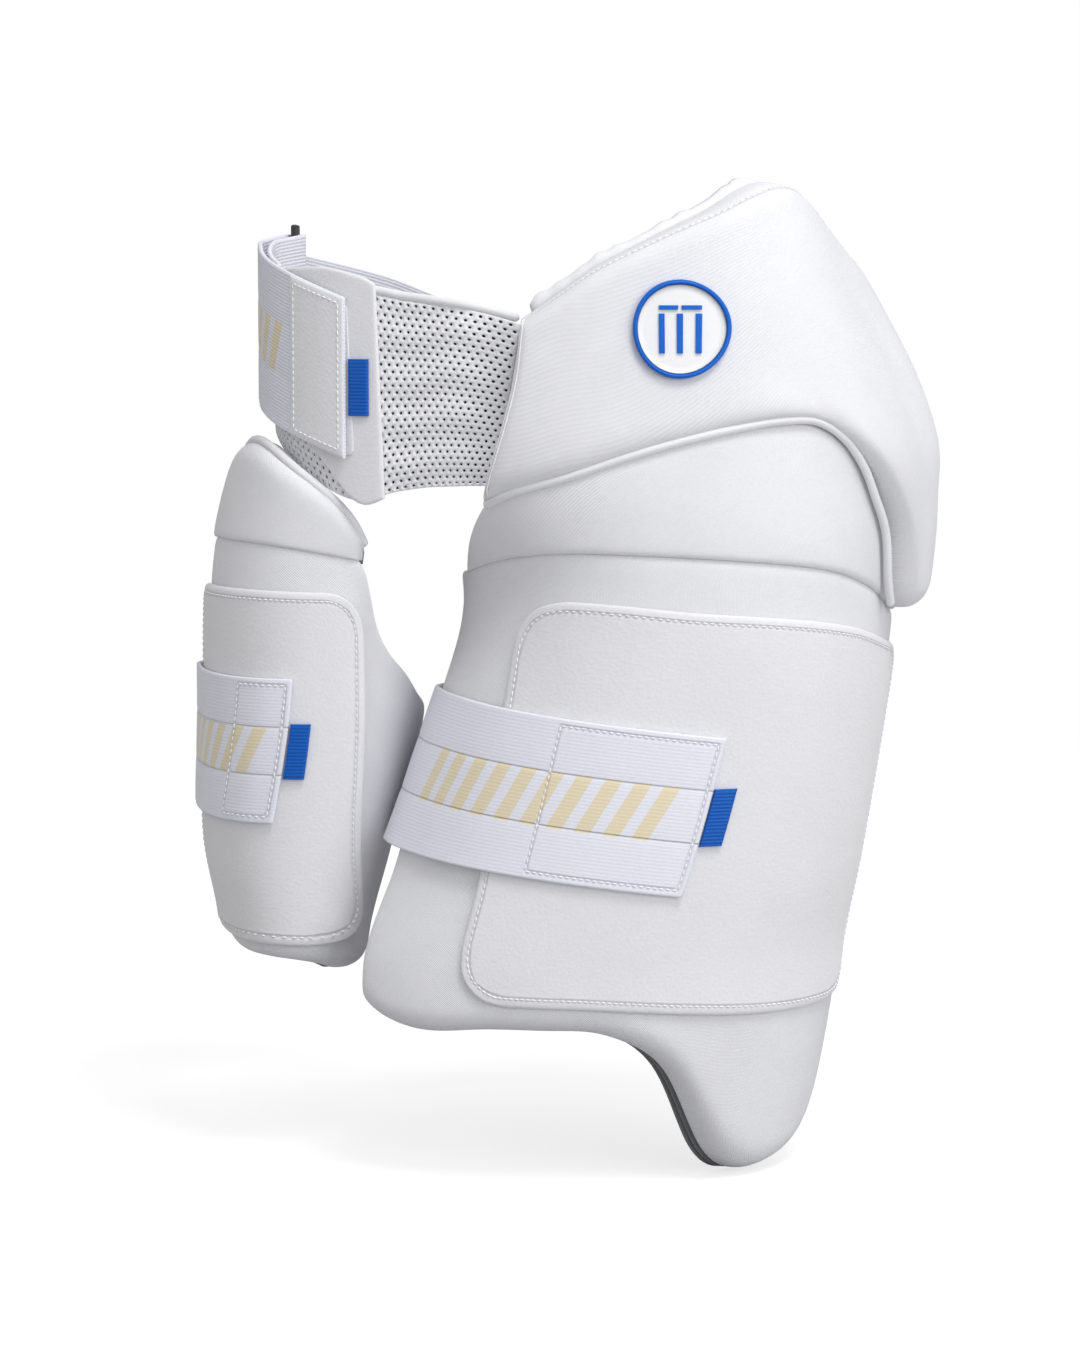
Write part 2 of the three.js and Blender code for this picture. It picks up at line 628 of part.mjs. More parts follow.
// A flat ring or disc of rubber moulded to the guard's curve
function roundel(inner, outer, low, high) {
  const sides = 32;
  const radii = inner > 0 ? [inner, outer] : [0, outer / 2, outer];
  const grid = (off) =>
    radii.map((radius) =>
      Array.from({ length: sides }, (_, i) => {
        const angle = (i / sides) * 2 * Math.PI;
        return onBadge(radius * Math.cos(angle), radius * Math.sin(angle), off);
      }),
    );
  const points = [...grid(high).flat(), ...grid(low).flat()];
  const top = (r, i) => r * sides + (i % sides);
  const under = (r, i) => (radii.length + r) * sides + (i % sides);
  const last = radii.length - 1;
  const faces = [];
  for (let i = 0; i < sides; i += 1) {
    for (let r = 0; r < last; r += 1) {
      const shut = r === 0 && inner === 0;
      faces.push(top(r, i), top(r + 1, i), top(r + 1, i + 1));
      faces.push(under(r, i), under(r + 1, i + 1), under(r + 1, i));
      if (shut) continue;
      faces.push(top(r, i), top(r + 1, i + 1), top(r, i + 1));
      faces.push(under(r, i), under(r, i + 1), under(r + 1, i + 1));
    }
    faces.push(top(last, i), under(last, i), under(last, i + 1));
    faces.push(top(last, i), under(last, i + 1), top(last, i + 1));
    if (inner === 0) continue;
    faces.push(top(0, i), top(0, i + 1), under(0, i + 1));
    faces.push(top(0, i), under(0, i + 1), under(0, i));
  }
  return solid(points, faces);
}

// A raised sign made of square cells that follow the badge
function emblem(low, high) {
  const rows = EMBLEM.length;
  const columns = EMBLEM[0].length;
  const points = [];
  for (const off of [high, low]) {
    for (let r = 0; r <= rows; r += 1) {
      for (let c = 0; c <= columns; c += 1) {
        points.push(onBadge((c - columns / 2) * EMBLEM_CELL, (rows / 2 - r) * EMBLEM_CELL, off));
      }
    }
  }
  const sheet = (rows + 1) * (columns + 1);
  const top = (r, c) => r * (columns + 1) + c;
  const under = (r, c) => sheet + top(r, c);
  const filled = (r, c) => EMBLEM[r]?.[c] === "x";
  const faces = [];
  const quad = (a, b, c, d) => faces.push(a, b, c, a, c, d);
  for (let r = 0; r < rows; r += 1) {
    for (let c = 0; c < columns; c += 1) {
      if (!filled(r, c)) continue;
      quad(top(r, c), top(r + 1, c), top(r + 1, c + 1), top(r, c + 1));
      quad(under(r, c), under(r, c + 1), under(r + 1, c + 1), under(r + 1, c));
      if (!filled(r - 1, c)) quad(top(r, c), top(r, c + 1), under(r, c + 1), under(r, c));
      if (!filled(r + 1, c)) quad(top(r + 1, c), under(r + 1, c), under(r + 1, c + 1), top(r + 1, c + 1));
      if (!filled(r, c - 1)) quad(top(r, c), under(r, c), under(r + 1, c), top(r + 1, c));
      if (!filled(r, c + 1)) quad(top(r, c + 1), top(r + 1, c + 1), under(r + 1, c + 1), under(r, c + 1));
    }
  }
  return solid(points, faces);
}

// How far the hip guard stands off the leg: over its lining, and over the roll as well where the flap
// covers it
function flapShare(angle, z) {
  const round = smooth(FLAP_ANGLES.from, FLAP_ANGLES.to, angle);
  return round * smooth(FLAP_LEVELS.from * HIP_DROP, FLAP_LEVELS.to * HIP_DROP, z);
}
const flapLift = ROLL_THICK + GAP - HIP_LINING;
const guardBase = (angle, z) => HIP_LINING + GAP + flapLift * flapShare(angle, z);
const guardThick = (angle, z) => THREE.MathUtils.lerp(GUARD_THICK, FLAP_THICK, flapShare(angle, z));

const hipColumns = HIP_COLUMNS.map((c) => ({ ...c, low: c.low * HIP_DROP, high: c.high * HIP_RISE }));
const arch = (angle) => along(hipColumns, "angle", "low", angle);
const seamGap = PIPING_RADIUS + 5 * GAP;

const rollColumns = ROLL_COLUMNS.map((c) => {
  const seam = arch(c.angle + c.lean) - SEAM_GAP;
  return {
    angle: c.angle,
    lean: c.lean,
    low: c.low * FOLD_DROP,
    high: THREE.MathUtils.lerp(seam, c.under * HIP_DROP, c.hidden),
  };
});
const fold = (angle) => along(rollColumns, "angle", "low", angle);

const padColumns = PAD_COLUMNS.map((c) => ({
  angle: c.angle,
  lean: c.lean,
  low: c.drop * PAD_DROP + c.tongue * TONGUE_LENGTH,
  high: fold(c.angle + c.lean) - FOLD_GAP,
}));

const padTop = PAD_THICK + 4 * GAP;
const patchTop = padTop + GAP + PATCH_THICK;

const innerRollColumns = INNER_ROLL_COLUMNS.map((c) => ({
  angle: c.angle,
  lean: c.lean,
  low: c.low * INNER_FOLD_DROP,
  high: c.high * INNER_TOP_DROP - 2 * seamGap,
}));
const innerFold = (angle) => along(innerRollColumns, "angle", "low", angle);
const innerPadColumns = INNER_PAD_COLUMNS.map((c) => ({
  angle: c.angle,
  low: c.low * INNER_PAD_DROP,
  high: innerFold(c.angle) - FOLD_GAP + c.wing * INNER_PAD_DROP,
}));
const innerTop = INNER_THICK + 5 * GAP;
const innerPatchTop = innerTop + GAP + PATCH_THICK;

const beltColumns = (rows) =>
  rows.map((c) => ({ angle: c.angle, lean: c.lean, low: c.low * BELT_DROP, high: c.high * BELT_RISE }));
const meshColumns = beltColumns(MESH_COLUMNS);
const meshTop = meshColumns.map((c) => ({ angle: c.angle + c.lean, high: c.high }));
const meshRim = (angle) => along(meshTop, "angle", "high", angle);
const meshRise = (angle) => MESH_RISE * smooth(MESH_RISES.from, MESH_RISES.to, angle);
const beltPatchBase = MESH_THICK + GAP;
const beltPatchTop = beltPatchBase + PATCH_THICK;

function hipGuard() {
  return panel({
    hollow: leg, columns: hipColumns, base: guardBase, thick: guardThick,
    edge: EDGE, run: 13, rows: 8, steps: 2,
  });
}

function hipLining() {
  const shown = hipColumns.filter((c) => c.angle + c.lean < 68);
  const first = shown[0];
  const last = shown[shown.length - 1];
  const from = first.angle + first.lean + 2;
  const to = last.angle + last.lean;
  const upper = hipColumns.map((c) => ({ angle: c.angle + c.lean, high: c.high }));
  const cell = 3; // columns that draw one bump
  const count = SCALLOP_COUNT * cell;
  const columns = Array.from({ length: count + 1 }, (_, i) => {
    const angle = THREE.MathUtils.lerp(from, to, i / count);
    const bump = SCALLOP * Math.abs(Math.sin((i / cell) * Math.PI));
    const shows = (LINING_SHOWS + bump) * (1 - (CELL_FADE * i) / count);
    return { angle, low: 0, high: along(upper, "angle", "high", angle) + shows };
  });
  return panel({
    hollow: leg, columns, base: () => GAP, thick: () => HIP_LINING - 3 * GAP,
    edge: HIP_LINING - 3, run: 4, rim: [0, 3], rows: 2,
  });
}

function hipPiping() {
  const flush = ROLL_THICK + GAP;
  const raised = ROLL_THICK + PIPING_RADIUS + 4 * GAP;
  const route = HIP_COLUMNS.filter((c) => c.angle <= PIPING_END).map((c, i) => {
    const angle = i ? c.angle : c.angle + 1;
    const z = arch(angle) - seamGap;
    const turn = PIPING_TURN.angle * smooth(PIPING_TURN.from, PIPING_TURN.to, angle);
    return leg.point(angle - turn, z, THREE.MathUtils.lerp(flush, raised, flapShare(angle, z)));
  });
  return cord(route, PIPING_RADIUS, 40);
}

function thighRoll() {
  return panel({
    hollow: leg, columns: rollColumns, base: () => GAP, thick: () => ROLL_THICK - GAP,
    edge: EDGE, run: 12, rows: 4, steps: 1,
  });
}

function thighPad() {
  return panel({
    hollow: leg, columns: padColumns, base: () => GAP, thick: () => PAD_THICK, edge: EDGE, run: 11, rows: 9,
  });
}

function thighPadLining() {
  return panel({
    hollow: leg, columns: padColumns, base: () => -PAD_LINING, thick: () => PAD_LINING - LINING_GAP,
    edge: PAD_LINING - LINING_GAP, run: 11, rim: [0, 11], rows: 6,
  });
}

// The lines of a surface over its round corners
const cornerLines = (radius) => [0, 0.42 * radius, radius];

function thighPatch() {
  const columns = PATCH_COLUMNS.map((c) => ({
    angle: c.angle,
    lean: c.lean,
    low: c.low * PATCH_LENGTH - PATCH_LEVEL,
    high: c.high * PATCH_LENGTH - PATCH_LEVEL,
  }));
  return panel({
    hollow: leg, columns, base: () => padTop, thick: () => PATCH_THICK,
    edge: PATCH_THICK / 2, run: 3, rim: cornerLines(PATCH_CORNER), rows: 3, steps: 3, corner: PATCH_CORNER,
  });
}

// The middle of the thigh strap's width at an angle, on a plane that falls towards the hip
function strapStation(angle, off) {
  const x = leg.point(angle, -STRAP_LEVEL, off).x;
  return onHollow(leg, angle, -STRAP_LEVEL - STRAP_SLOPE * x, off, STRAP_WIDTH);
}

function thighStrap() {
  const round = STRAP_ROUTE.map((r) => strapStation(r.angle, r.off * padTop + STRAP_THICK));
  const front = STRAP_FRONT.map((r) => {
    const under = THREE.MathUtils.lerp(padTop, patchTop, r.over);
    return strapStation(r.angle, under + GAP + STRAP_THICK / 2);
  });
  return band([...round, ...front], STRAP_THICK, 56);
}

// A short tab beyond a strap's end, in the strap's own layer
function label(hollow, angle, level, base) {
  const stride = hollow.stride(angle, level, base);
  const columns = [2 * GAP, LABEL_LENGTH].map((reach) => ({
    angle: angle + reach / stride,
    low: level - LABEL_HEIGHT / 2,
    high: level + LABEL_HEIGHT / 2,
  }));
  return panel({
    hollow, columns, base: () => base, thick: () => LABEL_THICK,
    edge: LABEL_THICK, run: 1, rim: [0], rows: 3, steps: 3,
  });
}

function innerRoll() {
  return panel({
    hollow: innerLeg, columns: innerRollColumns, base: () => GAP, thick: () => INNER_ROLL_THICK,
    edge: EDGE, run: 9, rows: 3,
  });
}

function innerPiping() {
  const route = innerRollColumns.map((c) =>
    innerLeg.point(c.angle, c.high + seamGap, INNER_ROLL_THICK * 0.55),
  );
  return cord(route, PIPING_RADIUS, 26);
}

function innerPad() {
  return panel({
    hollow: innerLeg, columns: innerPadColumns, base: () => GAP, thick: () => INNER_THICK,
    edge: EDGE, run: 8, rows: 7,
  });
}

function innerPadLining() {
  const thick = INNER_LINING - 3 * GAP;
  return panel({
    hollow: innerLeg, columns: innerPadColumns, base: () => -INNER_LINING, thick: () => thick,
    edge: thick, run: 8, rim: [0, 8], rows: 3,
  });
}

function innerPatch() {
  const columns = INNER_PATCH_COLUMNS.map((c) => ({
    angle: c.angle,
    lean: c.lean,
    low: c.low * INNER_PATCH_LENGTH - INNER_PATCH_LEVEL,
    high: c.high * INNER_PATCH_LENGTH - INNER_PATCH_LEVEL,
  }));
  return panel({
    hollow: innerLeg, columns, base: () => innerTop, thick: () => PATCH_THICK,
    edge: PATCH_THICK / 2, run: 3, rim: cornerLines(INNER_PATCH_CORNER), rows: 3, steps: 4,
    corner: INNER_PATCH_CORNER,
  });
}

function innerStrap() {
  const station = (angle, share, off) =>
    onHollow(innerLeg, angle, -INNER_STRAP_LEVEL * share, off, INNER_STRAP_WIDTH);
  const round = INNER_STRAP_ROUTE.map((r) => station(r.angle, r.level, r.off * innerTop + STRAP_THICK));
  const front = INNER_STRAP_FRONT.map((r) => {
    const under = THREE.MathUtils.lerp(innerTop, innerPatchTop, r.over);
    return station(r.angle, 1, under + 2 * GAP + STRAP_THICK / 2);
  });
  return band([...round, ...front], STRAP_THICK, 48);
}

function beltMesh() {
  const columns = meshColumns.map((c) => ({ ...c, high: c.high - BINDING_HEIGHT - 1.5 * GAP }));
  return panel({
    hollow: waist, columns, base: meshRise, thick: () => MESH_THICK,
    edge: MESH_THICK, run: 1, rim: [0], rows: 3, steps: 4,
  });
}

function beltBinding() {
  const columns = [0, 0.25, 0.5, 0.75, 1].map((share) => {
    const angle = THREE.MathUtils.lerp(BINDING_ENDS.from, BINDING_ENDS.to, share);
    return { angle, low: meshRim(angle) - BINDING_HEIGHT, high: meshRim(angle) };
  });
  const base = (angle) => (MESH_THICK - BINDING_THICK) / 2 + meshRise(angle);
  return panel({
    hollow: waist, columns, base, thick: () => BINDING_THICK,
    edge: BINDING_THICK * 0.6, run: BINDING_HEIGHT / 4, rim: [0, BINDING_HEIGHT / 4], rows: 1, steps: 2,
  });
}

function beltPatch() {
  return panel({
    hollow: waist, columns: beltColumns(BELT_PATCH_COLUMNS), base: () => beltPatchBase,
    thick: () => PATCH_THICK, edge: PATCH_THICK / 2, run: 3, rim: [0, 3], rows: 2, steps: 3,
  });
}

// The middle of the ring's slot, with the directions along the belt and out of it
const waistLevel = (angle) => along(WAIST_LEVELS, "angle", "level", angle) * WAIST_STRAP_WIDTH;
const ringCentre = waist.point(RING_ANGLE, waistLevel(RING_ANGLE), RING_STANDOFF);
const beltAhead = waist.point(RING_ANGLE + 1, 0).sub(waist.point(RING_ANGLE - 1, 0)).normalize();
const ringAhead = beltAhead.applyAxisAngle(new THREE.Vector3(0, 0, 1), THREE.MathUtils.degToRad(RING_TURN));
const ringOut = new THREE.Vector3(ringAhead.y, -ringAhead.x, 0);
const barReach = (SLOT_WIDTH + RING_BAR) / 2;
const turnRadius = Math.hypot(RING_BAR, RING_THICK) / 2 + 2 * GAP + STRAP_THICK / 2;

// A station of a strap at the ring, ahead of its middle along the belt and out of it
function byRing(ahead, out, width) {
  const place = ringCentre.clone().addScaledVector(ringAhead, ahead).addScaledVector(ringOut, out);
  return (share) => place.clone().setZ(place.z + share * width);
}

function waistStrap() {
  const lower = MESH_THICK + 3 * GAP + STRAP_THICK / 2;
  const upper = Math.max(beltPatchTop, MESH_THICK + 3 * GAP + STRAP_THICK) + 3 * GAP + STRAP_THICK / 2;
  const onWaist = (angle, off) => onHollow(waist, angle, waistLevel(angle), off, WAIST_STRAP_WIDTH);
  const inner = INNER_LEG.map((r) => onWaist(r.angle, lower + r.lift));
  const turn = [-90, -45, 0, 45, 90].map((degrees) => {
    const angle = THREE.MathUtils.degToRad(degrees);
    return byRing(barReach - turnRadius * Math.cos(angle), turnRadius * Math.sin(angle), WAIST_STRAP_WIDTH);
  });
  const outer = OUTER_LEG.map((r) => onWaist(r.angle, upper + r.lift));
  return band([...inner, ...turn, ...outer], STRAP_THICK, 72);
}

function waistRing() {
  const width = SLOT_WIDTH + 2 * RING_BAR;
  const tall = WAIST_STRAP_WIDTH + 2 * RING_BAR + 4 * GAP;
  const box = (w, h) => [
    new THREE.Vector2(-w / 2, -h / 2),
    new THREE.Vector2(w / 2, -h / 2),
    new THREE.Vector2(w / 2, h / 2),
    new THREE.Vector2(-w / 2, h / 2),
  ];
  const frame = new THREE.Shape(box(width, tall));
  frame.holes.push(new THREE.Path(box(SLOT_WIDTH, tall - 2 * RING_BAR)));
  const geometry = new THREE.ExtrudeGeometry(frame, { depth: RING_THICK, bevelEnabled: false });
  geometry.translate(0, 0, -RING_THICK / 2);
  const up = new THREE.Vector3(0, 0, 1);
  geometry.applyMatrix4(new THREE.Matrix4().makeBasis(ringAhead, up, ringOut));
  return geometry;
}

function backElastic() {
  const level = (share) => share * ELASTIC_WIDTH;
  const sewn = ELASTIC_END.map((r) =>
    onHollow(leg, r.angle, level(r.level), HIP_LINING - (STRAP_THICK + GAP) / 2, ELASTIC_WIDTH),
  );
  const round = ELASTIC_ROUTE.map((r) =>
    onHollow(waist, r.angle, level(r.level), r.off + STRAP_THICK / 2, ELASTIC_WIDTH),
  );
  const start = byRing(-(SLOT_WIDTH / 2 + RING_BAR + 2 * GAP + STRAP_THICK / 2), 0, ELASTIC_WIDTH);
  return band([...sewn, ...round, start], STRAP_THICK, 44);
}

// Each piece is one mesh, named for the part of the guard that it is
function piece(name, geometry, color, roughness, metalness = 0) {
  const mesh = new THREE.Mesh(geometry, new THREE.MeshStandardMaterial({ color, roughness, metalness }));
  mesh.name = name;
  return mesh;
}

const badgeTop = BADGE_THICK + GAP;
const rimInside = BADGE_DIAMETER / 2 - BADGE_RIM;
const hip = new THREE.Group();
hip.add(
  piece("hip_guard", hipGuard(), CLOTH_WHITE, 0.85),
  piece("hip_lining", hipLining(), MESH_WHITE, 0.9),
  piece("hip_piping", hipPiping(), CLOTH_WHITE, 0.8),
  piece("badge_disc", roundel(0, rimInside - GAP, 0, BADGE_THICK), RUBBER_WHITE, 0.5),
  piece("badge_rim", roundel(rimInside, BADGE_DIAMETER / 2, 0, BADGE_THICK + RIM_HEIGHT), BLUE, 0.45),
  piece("badge_emblem", emblem(badgeTop, badgeTop + EMBLEM_HEIGHT), BLUE, 0.45),
);

const thigh = new THREE.Group();
const strapEnd = STRAP_FRONT[STRAP_FRONT.length - 1].angle;
const strapEndLevel = strapStation(strapEnd, patchTop)(0).z;
thigh.add(
  piece("thigh_roll", thighRoll(), CLOTH_WHITE, 0.85),
  piece("thigh_pad", thighPad(), CLOTH_WHITE, 0.85),
  piece("thigh_pad_lining", thighPadLining(), LINING_GREY, 0.95),
  piece("thigh_patch", thighPatch(), LOOP_WHITE, 0.95),
  piece("thigh_strap", thighStrap(), ELASTIC_WHITE, 0.8),
  piece("thigh_label", label(leg, strapEnd, strapEndLevel, patchTop + GAP), BLUE, 0.6),
);

const innerGuard = new THREE.Group();
const innerStrapEnd = INNER_STRAP_FRONT[INNER_STRAP_FRONT.length - 1].angle;
innerGuard.add(
  piece("inner_roll", innerRoll(), CLOTH_WHITE, 0.85),
  piece("inner_piping", innerPiping(), CLOTH_WHITE, 0.8),
  piece("inner_pad", innerPad(), CLOTH_WHITE, 0.85),
  piece("inner_pad_lining", innerPadLining(), LINING_GREY, 0.95),
  piece("inner_patch", innerPatch(), LOOP_WHITE, 0.95),
  piece("inner_strap", innerStrap(), ELASTIC_WHITE, 0.8),
  piece("inner_label", label(innerLeg, innerStrapEnd, -INNER_STRAP_LEVEL, innerPatchTop + GAP), BLUE, 0.6),
);

const belt = new THREE.Group();
const waistRingMesh = piece("waist_ring", waistRing(), RING_GREY, 0.5);
waistRingMesh.position.copy(ringCentre);
belt.add(
  piece("belt_mesh", beltMesh(), MESH_WHITE, 0.85),
  piece("belt_binding", beltBinding(), CLOTH_WHITE, 0.8),
  piece("belt_patch", beltPatch(), LOOP_WHITE, 0.95),
  piece("waist_strap", waistStrap(), ELASTIC_WHITE, 0.8),
  piece("waist_label", label(waist, OUTER_LEG[OUTER_LEG.length - 1].angle, 0, beltPatchTop + GAP), BLUE, 0.6),
  waistRingMesh,
  piece("back_elastic", backElastic(), ELASTIC_WHITE, 0.85),
);

const guard = new THREE.Group();
guard.add(hip, thigh, innerGuard, belt);

export default guard;
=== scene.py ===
"""Dresses the cricket thigh guard: padded cloth, webbing, perforated belt, badge, ring, stitching, stage."""

import math

import bmesh
import bpy
import numpy as np
from mathutils import Matrix, Vector


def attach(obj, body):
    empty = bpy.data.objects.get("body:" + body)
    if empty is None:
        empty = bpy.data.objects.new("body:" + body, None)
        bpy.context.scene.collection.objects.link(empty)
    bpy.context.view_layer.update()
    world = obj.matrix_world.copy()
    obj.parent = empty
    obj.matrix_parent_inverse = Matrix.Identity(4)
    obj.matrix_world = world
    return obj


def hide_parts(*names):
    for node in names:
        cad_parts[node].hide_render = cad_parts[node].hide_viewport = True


bl_info = {
    "name": "Cricket Thigh Guard",
    "version": (1, 0, 0),
    "blender": (4, 5, 0),
    "location": "3D View > Sidebar > Thigh Guard",
    "description": "Models and dresses a worn cricket thigh guard over its frame",
    "category": "Object",
}

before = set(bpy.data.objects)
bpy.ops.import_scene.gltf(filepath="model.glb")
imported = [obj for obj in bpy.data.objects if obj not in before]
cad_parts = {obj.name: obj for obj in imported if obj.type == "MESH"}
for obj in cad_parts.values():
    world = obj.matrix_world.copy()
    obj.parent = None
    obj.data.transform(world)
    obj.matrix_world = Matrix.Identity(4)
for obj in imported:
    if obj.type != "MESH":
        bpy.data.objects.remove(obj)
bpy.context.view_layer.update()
MM = 0.001

# Sizes of the frame, in millimetres, as the solids have them
WAIST_WIDTH, WAIST_DEPTH, BELT_SIDE, BELT_FRONT, BELT_SQUARE = 264, 160, 150, 0.94, 2.3
THIGH_WIDTH, THIGH_DEPTH, INNER_WIDTH, INNER_DEPTH = 180, 176, 84, 168
LEG_LENGTH, STANCE, FRONT, INNER_TURN = 373, 100, 80, 4
HIP_RISE, HIP_DROP, FOLD_DROP, PAD_DROP, TONGUE_LENGTH = 93, 50, 75, 291, 71
GUARD_THICK, FLAP_THICK, ROLL_THICK, PAD_THICK = 18, 14, 20, 18
HIP_LINING, PAD_LINING, INNER_LINING = 7, 4, 3
INNER_FOLD_DROP, INNER_PAD_DROP, INNER_TOP_DROP = 72, 268, 20
INNER_THICK, INNER_ROLL_THICK = 12.4, 14
PATCH_THICK, PATCH_LENGTH, PATCH_LEVEL, PATCH_CORNER = 2, 180, 189, 25
INNER_PATCH_LENGTH, INNER_PATCH_LEVEL, INNER_PATCH_CORNER = 166, 177, 20
STRAP_THICK, STRAP_WIDTH, STRAP_LEVEL, STRAP_SLOPE = 2.2, 72, 185.8, 0.115
INNER_STRAP_WIDTH, INNER_STRAP_LEVEL, WAIST_STRAP_WIDTH = 68, 168, 74
BELT_DROP, BELT_RISE, MESH_THICK, MESH_RISE = 45, 42, 1.6, 5
BINDING_HEIGHT, ELASTIC_WIDTH = 4, 56
LABEL_HEIGHT, LABEL_LENGTH, LABEL_THICK = 26, 11, 1
PIPING_RADIUS, BADGE_DIAMETER, BADGE_THICK, BADGE_RIM = 2, 44, 2, 2.4
RING_BAR, RING_THICK, SLOT_WIDTH = 4, 3.4, 8
GAP, SEAM_GAP, FOLD_GAP = 0.3, 1, 1
TUCK = 2.4  # how far a pad's top is sewn in under its roll
FLOOR_LEVEL = -364
SHARP = 0.01  # the radius of a corner that isn't rounded
BAND_SEAM = 0.165  # where a strap's bands part, as a share of its width from its middle
BAND_DENT = 0.35
PATCH_SEAM = 4.2  # how far a patch's stitches lie inside its border
STRAP_SEAM = 3.2
THIGH_END, INNER_END = 74, 30  # lengths of the sewn ends of the straps
END_PATCH_LENGTH, END_PATCH_HALF = 34, 36.6
BAR_PITCH, BAR_SHARE, BAR_SLANT = 13, 0.56, -0.35
SEAM_REACH = 1.5  # how far from a seam the cloth is drawn in
FAR = 100.0
HEM_DROP = 2.1
MESH_LOW, MESH_HIGH = -46, -26  # angles between which the belt's panel rises to the guard


def table(names, *rows):
    """A table with named columns, as a list of rows."""
    return [dict(zip(names.split(), row)) for row in rows]


LEG_SECTIONS = table(
    "level edge front width depth square",
    (-1.0, -1.36, -1.14, 0.59, 0.49, 2.2),
    (-0.885, -1.26, -1.15, 0.59, 0.494, 2.2),
    (-0.759, -1.15, -1.16, 0.583, 0.5, 2.2),
    (-0.697, -1.09, -1.16, 0.572, 0.5, 2.2),
    (-0.584, -0.86, -1.16, 0.531, 0.5, 2.2),
    (-0.383, -0.59, -1.16, 0.489, 0.5, 2.2),
    (-0.298, -0.48, -1.16, 0.469, 0.5, 2.2),
    (-0.239, -0.47, -1.16, 0.472, 0.5, 2.2),
    (-0.18, -0.57, -1.16, 0.506, 0.5, 2.3),
    (-0.123, -0.72, -1.14, 0.55, 0.494, 2.4),
    (-0.048, -0.88, -1.1, 0.6, 0.483, 2.4),
    (0.013, -0.99, -1.05, 0.622, 0.466, 2.4),
    (0.083, -1.04, -1.0, 0.6, 0.455, 2.4),
    (0.169, -1.06, -0.95, 0.556, 0.438, 2.4),
    (0.265, -1.01, -0.875, 0.494, 0.415, 2.4),
)
INNER_SECTIONS = table(
    "level edge front width depth square",
    (-0.743, -1.25, -0.375, 0.238, 0.5, 2.6),
    (-0.692, -1.22, -0.4, 0.274, 0.5, 2.6),
    (-0.584, -1.11, -0.45, 0.381, 0.5, 2.6),
    (-0.421, -0.96, -0.51, 0.464, 0.5, 2.6),
    (-0.268, -0.89, -0.54, 0.5, 0.5, 2.6),
    (-0.182, -0.85, -0.55, 0.5, 0.5, 2.6),
    (-0.04, -0.82, -0.55, 0.44, 0.488, 2.6),
)
HIP_COLUMNS = table(
    "angle lean low high",
    (-46, 21, -1.0, 0.34),
    (-38, 17, -0.87, 0.38),
    (-24, 11, -0.72, 0.46),
    (-8, 7, -0.54, 0.57),
    (8, 5, -0.4, 0.67),
    (24, 4, -0.28, 0.78),
    (36, 4, -0.21, 0.87),
    (44, 5, -0.22, 0.95),
    (49, 8, -0.38, 1.0),
    (53, 10, -0.64, 1.0),
    (55.5, 11.5, -0.9, 0.95),
    (58, 13, -1.24, 0.83),
    (60, 16, -1.7, 0.72),
    (63, 18, -1.94, 0.67),
    (70, 18, -2.0, 0.57),
    (82, 16, -1.9, 0.46),
    (96, 14, -1.6, 0.37),
)
ROLL_COLUMNS = table(
    "angle lean low hidden under",
    (-74, 30, -1.17, 0, -1),
    (-58, 18, -1.09, 0, -1),
    (-44, 12, -1.02, 0, -1),
    (-28, 6, -0.98, 0, -1),
    (-10, 3, -0.985, 0, -1),
    (10, 0, -1.01, 0, -1),
    (28, 0, -1.05, 0, -1),
    (40, 0, -1.1, 0, -1),
    (48, 0, -1.16, 0, -1),
    (56, 0, -1.23, 1, -0.7),
    (68, 0, -1.34, 1, -0.8),
    (82, 0, -1.4, 1, -0.88),
    (98, 0, -1.42, 1, -0.96),
)
PAD_COLUMNS = table(
    "angle lean drop tongue",
    (-60, -24, -0.96, 0),
    (-57, -22, -0.983, 0),
    (-50, -18, -1.0, 0),
    (-40, -12, -1.008, 0),
    (-24, -6, -1.0, 0),
    (-8, -2, -1.0, 0),
    (6, 0, -1.0, -0.01),
    (16, 0, -1.0, -0.08),
    (23, 0, -1.0, -0.16),
    (29, 0, -1.0, -0.27),
    (34, 0, -1.0, -0.42),
    (40, 0, -1.0, -0.63),
    (46, 0, -1.0, -0.82),
    (52, 0, -1.0, -0.94),
    (58, 0, -1.0, -1.0),
    (65, 0, -1.0, -1.0),
    (71, 0, -1.0, -0.97),
    (77, 2, -1.0, -0.89),
    (83, 5, -1.0, -0.69),
    (88, 8, -1.0, -0.38),
    (92, 10, -1.0, 0),
)
PATCH_COLUMNS = table(
    "angle lean low high",
    (-31, -13, -0.49, 0.52),
    (-14, -8, -0.495, 0.52),
    (4, -3, -0.5, 0.5),
    (26, 0, -0.515, 0.48),
    (46, 0, -0.53, 0.45),
    (64, 0, -0.535, 0.405),
    (84, 0, -0.53, 0.37),
)
INNER_ROLL_COLUMNS = table(
    "angle lean low high",
    (-88, 0, -1.03, -2.5),
    (-70, 0, -1.015, -1.65),
    (-52, 0, -1.0, -1.25),
    (-36, 0, -1.0, -1.1),
    (-24, 0, -1.0, -1.22),
    (-14, 0, -1.015, -1.65),
    (-6, 0, -1.05, -2.15),
    (0, 0, -1.075, -2.55),
    (5, 0, -1.1, -3.0),
    (8.5, 0, -1.11, -3.5),
)
